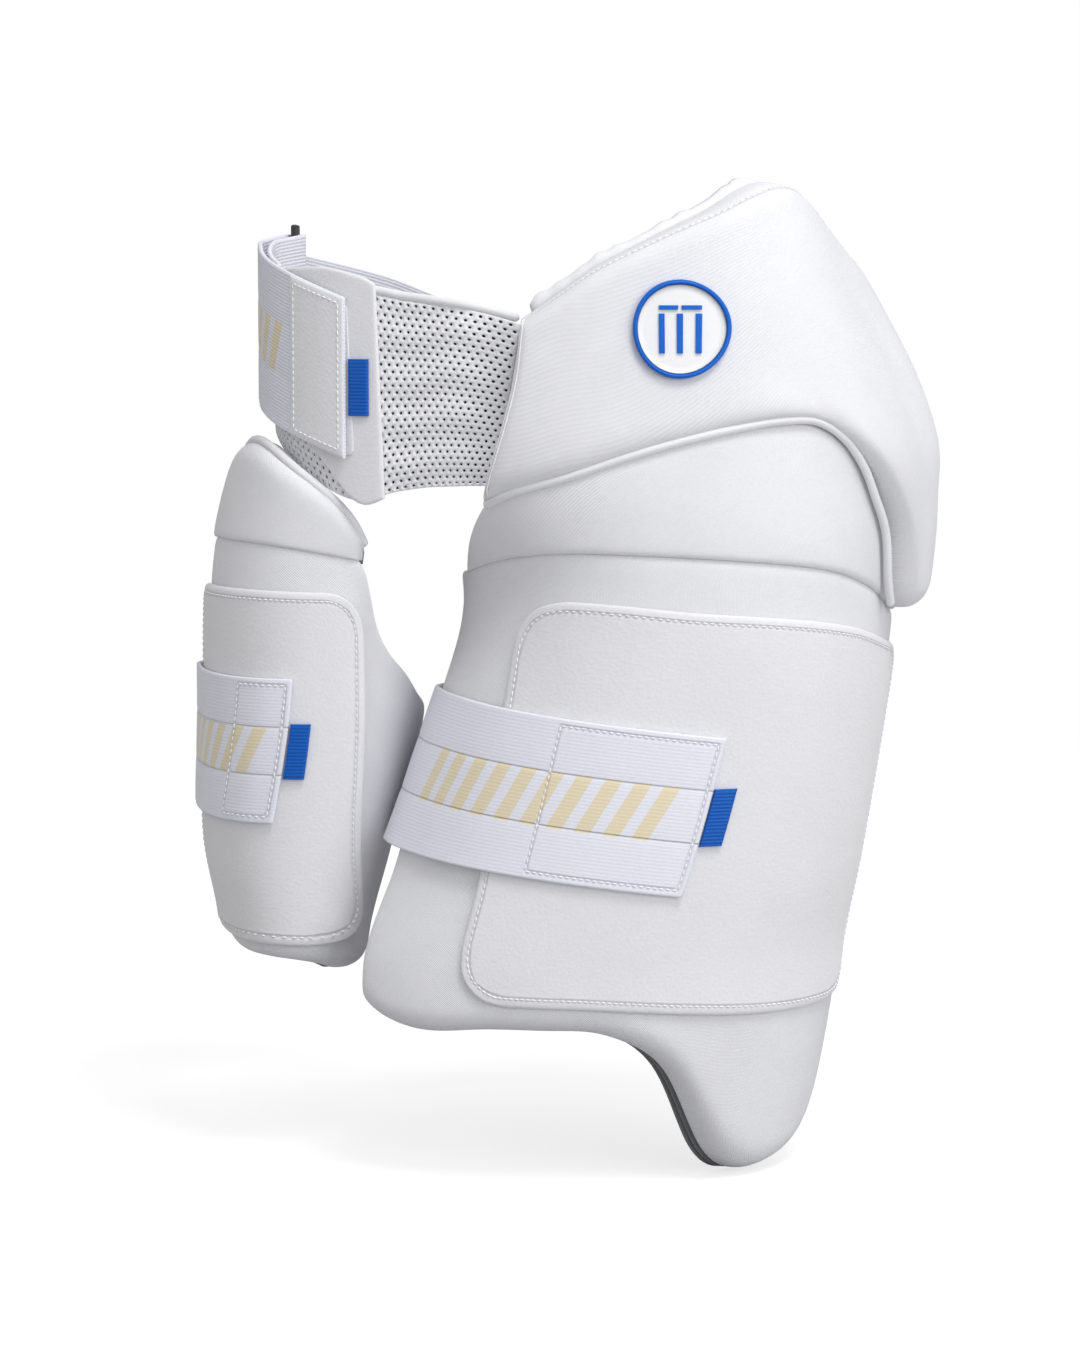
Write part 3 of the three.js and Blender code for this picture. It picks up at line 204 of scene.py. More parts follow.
INNER_PAD_COLUMNS = table(
    "angle low wing",
    (-92, -0.963, 0),
    (-66, -0.985, 0),
    (-40, -1.0, 0),
    (-20, -1.005, 0),
    (-8, -1.0, 0),
    (0, -1.004, 0),
    (7, -1.017, 0),
    (10, -1.026, -0.05),
    (12.5, -1.03, -0.12),
    (16, -1.034, -0.165),
    (22, -1.037, -0.2),
    (32, -1.037, -0.245),
    (48, -1.03, -0.27),
    (66, -1.015, -0.285),
    (84, -0.993, -0.3),
)
INNER_PATCH_COLUMNS = table(
    "angle lean low high",
    (-82, 0, -0.476, 0.494),
    (-45, 0, -0.5, 0.5),
    (-20, 0, -0.497, 0.503),
    (-4, -1, -0.5, 0.5),
    (13, -4.5, -0.512, 0.497),
)
ROLL_LINING_COLUMNS = table(
    "angle lean low high",
    (2, 0, -82, -56),
    (5, 0, -82, -61),
    (7.5, 0, -82, -67),
    (9.2, 0, -82, -77),
)
MESH_COLUMNS = table(
    "angle lean low high",
    (-100, 0, -0.36, 1.25),
    (-87, 0, -0.44, 1.25),
    (-71, 0, -0.82, 1.2),
    (-57, 0, -1.14, 1.16),
    (-46, 0, -1.05, 1.05),
    (-38, 0, -1.0, 1.0),
    (-28, 4, -0.98, 0.91),
    (-20, 8, -0.98, 0.79),
)
BELT_PATCH_COLUMNS = table(
    "angle lean low high",
    (-74, 0, -0.42, 1.3),
    (-68, 0, -0.56, 1.31),
    (-62, 0, -0.84, 1.3),
    (-57, 0, -1.12, 1.24),
    (-53, 0, -1.2, 1.18),
    (-49, -2, -1.12, 1.11),
)
WAIST_LEVELS = table("angle level", (-116, 0.48), (-98, 0.42), (-83, 0.32), (-71, 0.21), (-57, 0.054))
INNER_LEG = table(
    "angle lift", (-77, 0), (-80.5, 0), (-84, 0), (-87.5, 0.1), (-91, 0.2), (-94.5, 0.4), (-98, 0.8)
)
OUTER_LEG = table("angle lift", (-98, 4.5), (-91, 1.8), (-84, 0.4), (-77, 0), (-70, 0), (-63, 0), (-57, 0))
RING_ANGLE, RING_STANDOFF, RING_TURN = -109, 10, 38
ELASTIC_END = table("angle level", (97, 0.2), (107, 0.17), (118, 0.14))
ELASTIC_ROUTE = table(
    "angle level off",
    (134, 0.02, 3),
    (156, -0.06, 1.5),
    (180, -0.06, 1.5),
    (202, 0.04, 1.5),
    (220, 0.26, 2),
    (230, 0.4, 4),
)
STRAP_ROUTE = table(
    "angle off",
    (88, -0.41),
    (96, -0.41),
    (104, -0.37),
    (118, -0.05),
    (140, 0.13),
    (180, 0.15),
    (220, 0.18),
    (250, 0.25),
    (264, 0.3),
    (274, 0.52),
    (284, 0.86),
)
STRAP_FRONT = table(
    "angle over",
    (-66, 0),
    (-57, 0.15),
    (-48, 0.7),
    (-39, 1),
    (-30, 1),
    (-21, 1),
    (-12, 1),
    (-2, 1),
    (8, 1),
    (17, 1),
)
INNER_STRAP_ROUTE = table(
    "angle off level",
    (74, -0.49, 1.17),
    (82, -0.49, 1.165),
    (92, -0.42, 1.16),
    (107, 0.02, 1.15),
    (128, 0.17, 1.13),
    (156, 0.15, 1.1),
    (182, 0.15, 1.08),
    (206, 0.2, 1.05),
    (232, 0.3, 1.03),
    (252, 0.5, 1.01),
    (264, 0.82, 1.0),
)
INNER_STRAP_FRONT = table(
    "angle over",
    (-88, 0.1),
    (-79, 1),
    (-70, 1),
    (-61, 1),
    (-52, 1),
    (-44, 1),
    (-36, 1),
    (-28, 1),
    (-20, 1),
    (-13, 1),
    (-7, 1),
)
BADGE_ANGLE, BADGE_LEVEL = 19, 27


def along(rows, key, column, x):
    """The smooth value of one column at x, from rows in rising order of another."""
    keys = np.array([row[key] for row in rows], float)
    values = np.array([row[column] for row in rows], float)
    last = len(keys) - 1
    i = np.clip(np.searchsorted(keys, x, side="left") - 1, 0, last - 1)
    before = np.maximum(np.arange(last + 1) - 1, 0)
    after = np.minimum(np.arange(last + 1) + 1, last)
    slope = (values[after] - values[before]) / (keys[after] - keys[before])
    span = keys[i + 1] - keys[i]
    t = np.clip((x - keys[i]) / span, 0, 1)
    rise = t * t * (3 - 2 * t)
    swing = span * t * (1 - t) * ((1 - t) * slope[i] - t * slope[i + 1])
    return values[i] + (values[i + 1] - values[i]) * rise + swing


def smooth(start, end, x):
    """The smooth rise from 0 at start to 1 at end."""
    t = np.clip((x - start) / (end - start), 0, 1)
    return t * t * (3 - 2 * t)


class Hollow:
    """The hollow that a leg or the waist fills: squared ovals, one for each section."""

    def __init__(self, sections, turn=0):
        self.sections = sections
        self.turn = math.radians(turn)

    def point(self, degrees, z, off=0.0):
        """Points at an angle and a height, a distance off the hollow's wall."""
        degrees, z, off = np.broadcast_arrays(*(np.asarray(v, float) for v in (degrees, z, off)))
        oval = {name: along(self.sections, "z", name, z) for name in ("x", "y", "rx", "ry", "square")}

        def rim(turned):
            angle = np.radians(turned)
            across = np.abs(np.sin(angle) / oval["rx"]) ** oval["square"]
            ahead = np.abs(np.cos(angle) / oval["ry"]) ** oval["square"]
            reach = (across + ahead) ** (-1 / oval["square"])
            return reach * np.sin(angle), -reach * np.cos(angle)

        x, y = rim(degrees)
        ahead, behind = rim(degrees + 0.5), rim(degrees - 0.5)
        run = np.hypot(ahead[0] - behind[0], ahead[1] - behind[1])
        x = x + off * (ahead[1] - behind[1]) / run
        y = y - off * (ahead[0] - behind[0]) / run
        cos, sin = math.cos(self.turn), math.sin(self.turn)
        return np.stack([oval["x"] + x * cos - y * sin, oval["y"] + x * sin + y * cos, z], axis=-1)

    def stride(self, degrees, z, off=0.0):
        """Millimetres round the wall for each degree."""
        return float(np.linalg.norm(self.point(degrees + 1, z, off) - self.point(degrees - 1, z, off))) / 2


def hollow_of(sections, width, depth, side, turn=0):
    """A leg's hollow from its table. Side is +1 where the edge is its low X side, and -1 where it is not."""
    return Hollow(
        [
            {
                "z": s["level"] * LEG_LENGTH,
                "x": s["edge"] * STANCE + side * s["width"] * width,
                "y": s["front"] * FRONT + s["depth"] * depth,
                "rx": s["width"] * width,
                "ry": s["depth"] * depth,
                "square": s["square"],
            }
            for s in sections
        ],
        turn,
    )


LEG = hollow_of(LEG_SECTIONS, THIGH_WIDTH, THIGH_DEPTH, 1)
INNER_LEG_HOLLOW = hollow_of(INNER_SECTIONS, INNER_WIDTH, INNER_DEPTH, -1, INNER_TURN)
WAIST = Hollow(
    [
        {
            "z": z,
            "x": WAIST_WIDTH / 2 - BELT_SIDE,
            "y": WAIST_DEPTH / 2 - BELT_FRONT * FRONT,
            "rx": WAIST_WIDTH / 2,
            "ry": WAIST_DEPTH / 2,
            "square": BELT_SQUARE,
        }
        for z in (-LEG_LENGTH, LEG_LENGTH)
    ]
)


def flap_share(angle, z):
    """How far the hip guard's flap has lifted over the roll, from 0 to 1."""
    return smooth(18, 42, angle) * smooth(HIP_DROP * 0.2, -HIP_DROP * 0.8, z)


def guard_base(angle, z):
    return HIP_LINING + GAP + (ROLL_THICK + GAP - HIP_LINING) * flap_share(angle, z)


def guard_thick(angle, z):
    return GUARD_THICK + (FLAP_THICK - GUARD_THICK) * flap_share(angle, z)


def scaled(rows, low, high):
    """Rows whose borders are shares of the two sizes, in millimetres."""
    return [{**r, "lean": r.get("lean", 0), "low": r["low"] * low, "high": r["high"] * high} for r in rows]


hip_columns = scaled(HIP_COLUMNS, HIP_DROP, HIP_RISE)


def arch(angle):
    return along(hip_columns, "angle", "low", angle)


def roll_row(r):
    seam = float(arch(r["angle"] + r["lean"])) - SEAM_GAP
    high = seam + (r["under"] * HIP_DROP - seam) * r["hidden"]
    return {"angle": r["angle"], "lean": r["lean"], "low": r["low"] * FOLD_DROP, "high": high}


roll_columns = [roll_row(r) for r in ROLL_COLUMNS]


def fold(angle):
    return along(roll_columns, "angle", "low", angle)


pad_columns = [
    {
        "angle": r["angle"],
        "lean": r["lean"],
        "low": r["drop"] * PAD_DROP + r["tongue"] * TONGUE_LENGTH,
        "high": float(fold(r["angle"] + r["lean"])) - FOLD_GAP,
    }
    for r in PAD_COLUMNS
]
PAD_TOP = PAD_THICK + 4 * GAP
PATCH_TOP = PAD_TOP + GAP + PATCH_THICK
SEAM_LIFT = PIPING_RADIUS + 5 * GAP
inner_roll_columns = [
    {**r, "low": r["low"] * INNER_FOLD_DROP, "high": r["high"] * INNER_TOP_DROP - 2 * SEAM_LIFT}
    for r in INNER_ROLL_COLUMNS
]


def inner_fold(angle):
    return along(inner_roll_columns, "angle", "low", angle)


inner_pad_columns = [
    {
        "angle": r["angle"],
        "lean": 0,
        "low": r["low"] * INNER_PAD_DROP,
        "high": float(inner_fold(r["angle"])) - FOLD_GAP + r["wing"] * INNER_PAD_DROP,
    }
    for r in INNER_PAD_COLUMNS
]
INNER_TOP = INNER_THICK + 5 * GAP
INNER_PATCH_TOP = INNER_TOP + GAP + PATCH_THICK
mesh_columns = scaled(MESH_COLUMNS, BELT_DROP, BELT_RISE)
mesh_top = [{"angle": c["angle"] + c["lean"], "high": c["high"]} for c in mesh_columns]
BELT_PATCH_BASE = MESH_THICK + GAP
BELT_PATCH_TOP = BELT_PATCH_BASE + PATCH_THICK


def waist_level(angle):
    return float(along(WAIST_LEVELS, "angle", "level", angle)) * WAIST_STRAP_WIDTH


def edge_lines(size, start, end, spacing):
    """Places across a piece, close together over the start and end where it rounds over."""
    near = np.array([0, 0.04, 0.12, 0.25, 0.42, 0.64, 1.0])
    count = max(2, round((size - start - end) / spacing))
    middle = np.linspace(start, size - end, count + 1)[1:-1]
    return np.concatenate([near * start, middle, (size - near * end)[::-1]])


def rounded(x, y, width, height, radius):
    """Places in a rectangle moved so that its corners are round."""
    if not radius:
        return x, y
    left, low = x < width / 2, y < height / 2
    p = (radius - np.where(left, x, width - x)) / radius
    q = (radius - np.where(low, y, height - y)) / radius
    inside = (p > 0) & (q > 0)
    keep = np.where(inside, np.maximum(p, q) / np.maximum(np.hypot(p, q), 1e-9), 1)
    in_x, in_y = radius - radius * p * keep, radius - radius * q * keep
    new_x = np.where(inside, np.where(left, in_x, width - in_x), x)
    new_y = np.where(inside, np.where(low, in_y, height - in_y), y)
    return new_x, new_y


class Panel:
    """A sewn piece of cloth or padding on a hollow. Flat x runs round it and flat y up it, in millimetres."""

    def __init__(self, hollow, columns, base, thick, edge, runs, relief=None):
        self.hollow, self.base, self.thick, self.runs, self.relief = hollow, base, thick, runs, relief
        self.edges = edge if isinstance(edge, tuple) else (edge,) * 4
        angle = np.array([c["angle"] + c["lean"] / 2 for c in columns], float)
        level = np.array([(c["low"] + c["high"]) / 2 for c in columns])
        middle = hollow.point(angle, level, np.array([base(c["angle"], 0) for c in columns], float))
        reach = np.concatenate([[0], np.cumsum(np.linalg.norm(np.diff(middle, axis=0), axis=1))])
        self.rows = [{**c, "reach": r} for c, r in zip(columns, reach)]
        self.width = float(reach[-1])
        self.height = max(c["high"] - c["low"] for c in columns)
        fine = np.linspace(0, self.width, 400)
        tall = along(self.rows, "reach", "high", fine) - along(self.rows, "reach", "low", fine)
        self.cut = float(np.mean(tall)) / self.height

    def place(self, x, y, lift=0.0, inside=False):
        """Points on the piece's outside, or its inside, at flat places."""
        low, high = (along(self.rows, "reach", name, x) for name in ("low", "high"))
        share = y / self.height
        angle = along(self.rows, "reach", "angle", x) + along(self.rows, "reach", "lean", x) * share
        z = low + (high - low) * share
        start = self.base(angle, z)
        if inside:
            return self.hollow.point(angle, z, start - lift)
        tall = high - low
        far = (x, self.width - x, share * tall, (1 - share) * tall)
        thick = self.thick(angle, z)
        height, swell = np.array(thick, float), np.ones_like(angle)
        for distance, run, edge in zip(far, self.runs, self.edges):
            bend = 1 - np.clip(distance / run, 0, 1)
            round_over = np.sqrt(np.maximum(1 - bend * bend, 0))
            edge = edge(angle, z) if callable(edge) else edge
            height = np.minimum(height, edge + (thick - edge) * round_over)
            swell = np.minimum(swell, round_over)
        if self.relief is not None:
            height = height + self.relief(x, y, angle, z) * swell
        return self.hollow.point(angle, z, start + height + lift)

    def build(self, spacing, corner=0.0):
        """The piece's two walls and its flat places, as grids."""
        left, right, low, high = (max(run, corner) for run in self.runs)
        x = edge_lines(self.width, left, right, spacing)
        y = edge_lines(self.height, low, high, spacing)
        x, y = rounded(*np.meshgrid(x, y, indexing="ij"), self.width, self.height, corner)
        return self.place(x, y), self.place(x, y, inside=True), np.stack([x, y], axis=-1)

    def seam(self, flat, inset, corner):
        """How far flat places are from the line of stitches inside the border."""
        low, high = (inset, inset), (self.width - inset, self.height - inset)
        return from_box(flat, low, high, max(corner - inset, SHARP))

    def border(self, inset, corner, pitch):
        """Flat places along a line of stitches inside the border, and the line's direction."""
        radius = max(corner - inset, SHARP)
        left, right = inset + radius, self.width - inset - radius
        low, high = inset + radius, self.height - inset - radius
        loop = []
        for x, y, start in ((right, high, 0), (left, high, 90), (left, low, 180), (right, low, 270)):
            for k in range(9):
                a = math.radians(start + k * 90 / 8)
                loop.append((x + radius * math.cos(a), y + radius * math.sin(a)))
        loop.append(loop[0])
        return even(np.array(loop), pitch)


def even(line, pitch):
    """Points spaced evenly along a polyline."""
    steps = np.linalg.norm(np.diff(line, axis=0), axis=1)
    reach = np.concatenate([[0], np.cumsum(steps)])
    count = max(2, int(reach[-1] / pitch))
    at = (np.arange(count) + 0.5) * reach[-1] / count
    return np.stack([np.interp(at, reach, line[:, k]) for k in range(line.shape[1])], axis=-1)


def spline(stations, count):
    """Points on one smooth line through stations, at even steps between them."""
    stations = np.asarray(stations, float)
    last = len(stations) - 1
    ends = [2 * stations[0] - stations[1], *stations, 2 * stations[-1] - stations[-2]]
    points = []
    for step in range(count + 1):
        at = step / count * last
        i = min(int(at), last - 1)
        t = at - i
        p0, p1, p2, p3 = ends[i : i + 4]
        d0, d1, d2 = (max(np.linalg.norm(b - a) ** 0.5, 1e-4) for a, b in ((p0, p1), (p1, p2), (p2, p3)))
        m1 = ((p1 - p0) / d0 - (p2 - p0) / (d0 + d1) + (p2 - p1) / d1) * d1
        m2 = ((p2 - p1) / d1 - (p3 - p1) / (d1 + d2) + (p3 - p2) / d2) * d1
        points.append(
            p1 + m1 * t + (-3 * p1 + 3 * p2 - 2 * m1 - m2) * t * t + (2 * p1 - 2 * p2 + m1 + m2) * t * t * t
        )
    return np.array(points)


class Band:
    """Webbing along a route. Each station gives the place of the middle, or of a share of the width."""

    HALF = [0.15, BAND_SEAM, 0.18, 0.33, 0.42, 0.445, 0.465, 0.485, 0.5]
    SHARES = np.array([-share for share in reversed(HALF)] + [0] + HALF)

    def __init__(self, stations, width, thick, count):
        self.width, self.thick = width, thick
        lines = [spline([at(share) for at in stations], count) for share in self.SHARES]
        middle = np.stack(lines, axis=1)
        centre = middle[:, len(self.SHARES) // 2]
        self.reach = np.concatenate([[0], np.cumsum(np.linalg.norm(np.diff(centre, axis=0), axis=1))])
        self.length = float(self.reach[-1])
        run = np.gradient(middle, axis=0)
        side = np.stack([run[..., 1], -run[..., 0], np.zeros(run.shape[:2])], axis=-1)
        self.side = side / np.linalg.norm(side, axis=-1, keepdims=True)
        self.middle = middle

    def place(self, x, y, lift=0.0):
        """Points on the band's outside at flat places: y runs up from the middle of its width."""
        u = np.interp(x, self.reach, np.arange(len(self.reach)))
        v = np.interp(y / self.width, self.SHARES, np.arange(len(self.SHARES)))
        i = np.minimum(u.astype(int), len(self.reach) - 2)
        j = np.minimum(v.astype(int), len(self.SHARES) - 2)
        a, b = (u - i)[..., None], (v - j)[..., None]

        def blend(grid):
            low = grid[i, j] * (1 - a) + grid[i + 1, j] * a
            high = grid[i, j + 1] * (1 - a) + grid[i + 1, j + 1] * a
            return low * (1 - b) + high * b

        return blend(self.middle) + blend(self.side) * (self.thick / 2 + lift)

    def build(self):
        """The band's two walls and its flat places, as grids. It is drawn in where its bands part."""
        parting = np.abs(self.SHARES) == BAND_SEAM
        outer = (self.thick / 2 - np.where(parting, BAND_DENT, 0))[None, :, None]
        flat = np.stack(np.meshgrid(self.reach, self.SHARES * self.width, indexing="ij"), axis=-1)
        return self.middle + self.side * outer, self.middle - self.side * self.thick / 2, flat


def on_hollow(hollow, angle, level, off, width):
    """A station of a strap that lies on a hollow."""
    return lambda share: hollow.point(angle, level + share * width, off)


def deselect():
    if bpy.context.object and bpy.context.object.mode != "OBJECT":
        bpy.ops.object.mode_set(mode="OBJECT")
    bpy.ops.object.select_all(action="DESELECT")


def choose(obj):
    deselect()
    obj.select_set(True)
    bpy.context.view_layer.objects.active = obj


def apply_modifiers(obj):
    choose(obj)
    for modifier in list(obj.modifiers):
        bpy.ops.object.modifier_apply(modifier=modifier.name)


def mesh_object(name, points, faces, uv=None):
    """An object from points in millimetres, faces and a flat place for each point."""
    mesh = bpy.data.meshes.new(name)
    mesh.from_pydata((np.asarray(points) * MM).tolist(), [], [list(map(int, f)) for f in faces])
    mesh.update()
    if uv is not None:
        layer = mesh.uv_layers.new(name="Cloth")
        corners = np.zeros(len(mesh.loops), dtype=np.int32)
        mesh.loops.foreach_get("vertex_index", corners)
        layer.data.foreach_set("uv", (np.asarray(uv)[corners] * MM).astype(np.float32).ravel())
    obj = bpy.data.objects.new(name, mesh)
    bpy.context.scene.collection.objects.link(obj)
    return obj


def from_box(flat, low, high, radius):
    """How far flat places are from a line round a box with round corners, negative inside it."""
    low, high = np.array(low, float), np.array(high, float)
    past = np.abs(flat - (low + high) / 2) - (high - low) / 2 + radius
    across, up = past[..., 0], past[..., 1]
    return np.hypot(np.maximum(across, 0), np.maximum(up, 0)) - radius + np.minimum(np.maximum(across, up), 0)


def cloth(name, outside, inside, flat, material, slot, *nodes, levels=1, seam=None):
    """One closed piece of cloth between two walls, smoothed, with its flat places as its UV map."""
    n, m = outside.shape[:2]
    points = np.concatenate([outside.reshape(-1, 3), inside.reshape(-1, 3)])
    uv = np.concatenate([flat.reshape(-1, 2)] * 2)
    out = np.arange(n * m).reshape(n, m)
    back = out + n * m

    def quads(a, b, c, d):
        return np.stack([a.ravel(), b.ravel(), c.ravel(), d.ravel()], axis=-1)

    faces = np.concatenate(
        [
            quads(out[:-1, :-1], out[1:, :-1], out[1:, 1:], out[:-1, 1:]),
            quads(back[:-1, :-1], back[:-1, 1:], back[1:, 1:], back[1:, :-1]),
            quads(out[:-1, 0], back[:-1, 0], back[1:, 0], out[1:, 0]),
            quads(out[:-1, -1], out[1:, -1], back[1:, -1], back[:-1, -1]),
            quads(out[0, :-1], out[0, 1:], back[0, 1:], back[0, :-1]),
            quads(out[-1, :-1], back[-1, :-1], back[-1, 1:], out[-1, 1:]),
        ]
    )
    obj = mesh_object(name, points, faces, uv)
    unsewn = np.full(n * m, FAR)
    away = unsewn if seam is None else seam.ravel()
    layer = obj.data.attributes.new("Seam", "FLOAT", "POINT")
    layer.data.foreach_set("value", np.concatenate([away, unsewn]).astype(np.float32))
    return finish_piece(obj, material, slot, *nodes, levels=levels)


def finish_piece(obj, material, slot, *nodes, levels=0):
    """Smooths a piece, gives it its material and puts it in the place of its solids."""
    if levels:
        modifier = obj.modifiers.new("Smooth", "SUBSURF")
        modifier.levels = modifier.render_levels = levels
        apply_modifiers(obj)
    obj.data.materials.clear()
    obj.data.materials.append(material)
    obj.data.polygons.foreach_set("use_smooth", [True] * len(obj.data.polygons))
    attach(obj, "root")
    if nodes:
        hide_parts(*nodes)
    return obj


def tube(name, route, radius, material, slot, *nodes, flatten=1.0, sides=12):
    """A round sewn cord along a route, with rounded ends."""
    path = np.asarray(route, float)
    run = np.gradient(path, axis=0)
    run /= np.linalg.norm(run, axis=1, keepdims=True)
    side = np.cross(run, [0, 0, 1.0])
    side /= np.linalg.norm(side, axis=1, keepdims=True)
    up = np.cross(side, run)
    reach = np.concatenate([[0], np.cumsum(np.linalg.norm(np.diff(path, axis=0), axis=1))])
    to_end = np.minimum(reach, reach[-1] - reach) / radius
    taper = np.sqrt(np.clip(1 - (1 - np.clip(to_end, 0.02, 1)) ** 2, 0, 1))[:, None]
    rings, flat = [], []
    for k in range(sides):
        a = 2 * math.pi * k / sides
        rings.append(path + radius * taper * (flatten * math.cos(a) * side + math.sin(a) * up))
        flat.append(np.stack([reach, np.full(len(reach), a * radius)], axis=-1))
    points = np.stack(rings, axis=1).reshape(-1, 3)
    n = len(path)
    faces = []
    for i in range(n - 1):
        for k in range(sides):
            a, b = i * sides + k, i * sides + (k + 1) % sides
            faces.append((a, b, b + sides, a + sides))
    faces.append(tuple(range(sides))[::-1])
    faces.append(tuple(range((n - 1) * sides, n * sides)))
    obj = mesh_object(name, points, faces, np.stack(flat, axis=1).reshape(-1, 2))
    recalculate(obj)
    return finish_piece(obj, material, slot, *nodes)


def recalculate(obj):
    """Turns every face of a closed piece outwards."""
    work = bmesh.new()
    work.from_mesh(obj.data)
    bmesh.ops.recalc_face_normals(work, faces=work.faces)
    work.to_mesh(obj.data)
    work.free()


def stitch_shape(length, radius):
    """The points and faces of one stitch, modelled from a ball drawn out along X."""
    deselect()
    bpy.ops.mesh.primitive_uv_sphere_add(segments=6, ring_count=4, radius=1)
    ball = bpy.context.object
    bpy.ops.object.mode_set(mode="EDIT")
    bpy.ops.mesh.select_all(action="SELECT")
    bpy.ops.transform.rotate(value=math.pi / 2, orient_axis="Y", center_override=(0, 0, 0))
    bpy.ops.transform.resize(value=(length / 2, radius, radius), center_override=(0, 0, 0))
    bpy.ops.object.mode_set(mode="OBJECT")
    points = np.array([v.co[:] for v in ball.data.vertices])
    faces = [list(p.vertices) for p in ball.data.polygons]
    bpy.data.objects.remove(ball)
    return points, faces


def stitches(name, lines, material, slot, pitch=3.0, radius=0.4):
    """Rows of stitches. Each line holds the points of its stitches and the surface's normals there."""
    shape, shape_faces = stitch_shape(pitch * 0.78, radius)
    points, faces = [], []
    for line, normals in lines:
        run = np.gradient(line, axis=0)
        run /= np.maximum(np.linalg.norm(run, axis=1, keepdims=True), 1e-9)
        normals = normals - run * np.sum(run * normals, axis=1, keepdims=True)
        normals /= np.linalg.norm(normals, axis=1, keepdims=True)
        across = np.cross(normals, run)
        for at, x, y, z in zip(line, run, across, normals):
            start = len(points) * len(shape)
            points.append(at + shape[:, :1] * x + shape[:, 1:2] * y + shape[:, 2:] * z)
            faces.extend([start + k for k in face] for face in shape_faces)
    obj = mesh_object(name, np.concatenate(points), faces)
    return finish_piece(obj, material, slot)


def row_on(piece, flat, lift=0.1):
    """A row of stitches at flat places on a panel or band."""
    flat = np.asarray(flat, float)
    x, y = flat[:, 0], flat[:, 1]
    here = piece.place(x, y, lift)
    there = piece.place(x, y, lift + 1.0)
    return here, there - here


# Materials


def new_material(name, color, roughness, sheen=0.0):
    material = bpy.data.materials.new(name)
    material.use_nodes = True
    shader = material.node_tree.nodes["Principled BSDF"]
    shader.inputs["Base Color"].default_value = (*color, 1)
    shader.inputs["Roughness"].default_value = roughness
    shader.inputs["Sheen Weight"].default_value = sheen
    shader.inputs["Sheen Roughness"].default_value = 0.5
    shader.inputs["Specular IOR Level"].default_value = 0.25
    return material, shader


def value_group(name, inputs, build):
    """A node group that takes a vector and numbers, and puts out a height and a shade."""
    group = bpy.data.node_groups.new(name, "ShaderNodeTree")
    group.interface.new_socket("Vector", in_out="INPUT", socket_type="NodeSocketVector")
    for label, default in inputs:
        socket = group.interface.new_socket(label, in_out="INPUT", socket_type="NodeSocketFloat")
        socket.default_value = default
    for label in ("Height", "Shade"):
        group.interface.new_socket(label, in_out="OUTPUT", socket_type="NodeSocketFloat")
    start, end = group.nodes.new("NodeGroupInput"), group.nodes.new("NodeGroupOutput")
    height, shade = build(group, start)
    group.links.new(height, end.inputs["Height"])
    group.links.new(shade, end.inputs["Shade"])
    return group


def math_node(tree, operation, a, b=None, c=None):
    node = tree.nodes.new("ShaderNodeMath")
    node.operation = operation
    for slot, value in enumerate((a, b, c)):
        if value is None:
            continue
        if isinstance(value, (int, float)):
            node.inputs[slot].default_value = value
        else:
            tree.links.new(value, node.inputs[slot])
    return node.outputs[0]


def noise_node(tree, vector, scale, detail=3.0, stretch=None):
    if stretch is not None:
        mapping = tree.nodes.new("ShaderNodeMapping")
        mapping.inputs["Scale"].default_value = stretch
        tree.links.new(vector, mapping.inputs["Vector"])
        vector = mapping.outputs[0]
    node = tree.nodes.new("ShaderNodeTexNoise")
    node.inputs["Scale"].default_value = scale
    node.inputs["Detail"].default_value = detail
    tree.links.new(vector, node.inputs["Vector"])
    return node.outputs["Fac"]


def split(tree, vector):
    node = tree.nodes.new("ShaderNodeSeparateXYZ")
    tree.links.new(vector, node.inputs[0])
    return node.outputs[0], node.outputs[1]


def wave(tree, value, pitch):
    return math_node(tree, "SINE", math_node(tree, "MULTIPLY", value, 2 * math.pi / pitch))


def knit_group():
    """Fine twill ribs of a smooth knit, with the slight unevenness of cloth over foam."""

    def build(tree, start):
        vector = start.outputs["Vector"]
        x, y = split(tree, vector)
        twill = wave(tree, math_node(tree, "ADD", x, y), 0.0011)
        cross = wave(tree, math_node(tree, "SUBTRACT", x, y), 0.0017)
        fuzz = noise_node(tree, vector, 700, 4)
        broad = noise_node(tree, vector, 24, 3)
        ribs = math_node(tree, "ADD", twill, math_node(tree, "MULTIPLY", cross, 0.35))
        ribs = math_node(tree, "MULTIPLY", ribs, start.outputs["Rib"])
        height = math_node(tree, "ADD", ribs, math_node(tree, "MULTIPLY", fuzz, 0.6))
        shade = math_node(tree, "MULTIPLY_ADD", broad, 0.5, math_node(tree, "MULTIPLY", fuzz, 0.5))
        return height, shade

    return value_group("Fine Knit", [("Rib", 0.35)], build)


def pile_group():
    """The fuzzy loops of brushed fastening fabric."""

    def build(tree, start):
        vector = start.outputs["Vector"]
        loops = noise_node(tree, vector, 620, 4)
        tufts = noise_node(tree, vector, 170, 3)
        broad = noise_node(tree, vector, 26, 2)
        height = math_node(tree, "MULTIPLY_ADD", tufts, start.outputs["Tuft"], loops)
        shade = math_node(tree, "MULTIPLY_ADD", broad, 0.4, math_node(tree, "MULTIPLY", loops, 0.6))
        return height, shade

    return value_group("Loop Pile", [("Tuft", 0.5)], build)


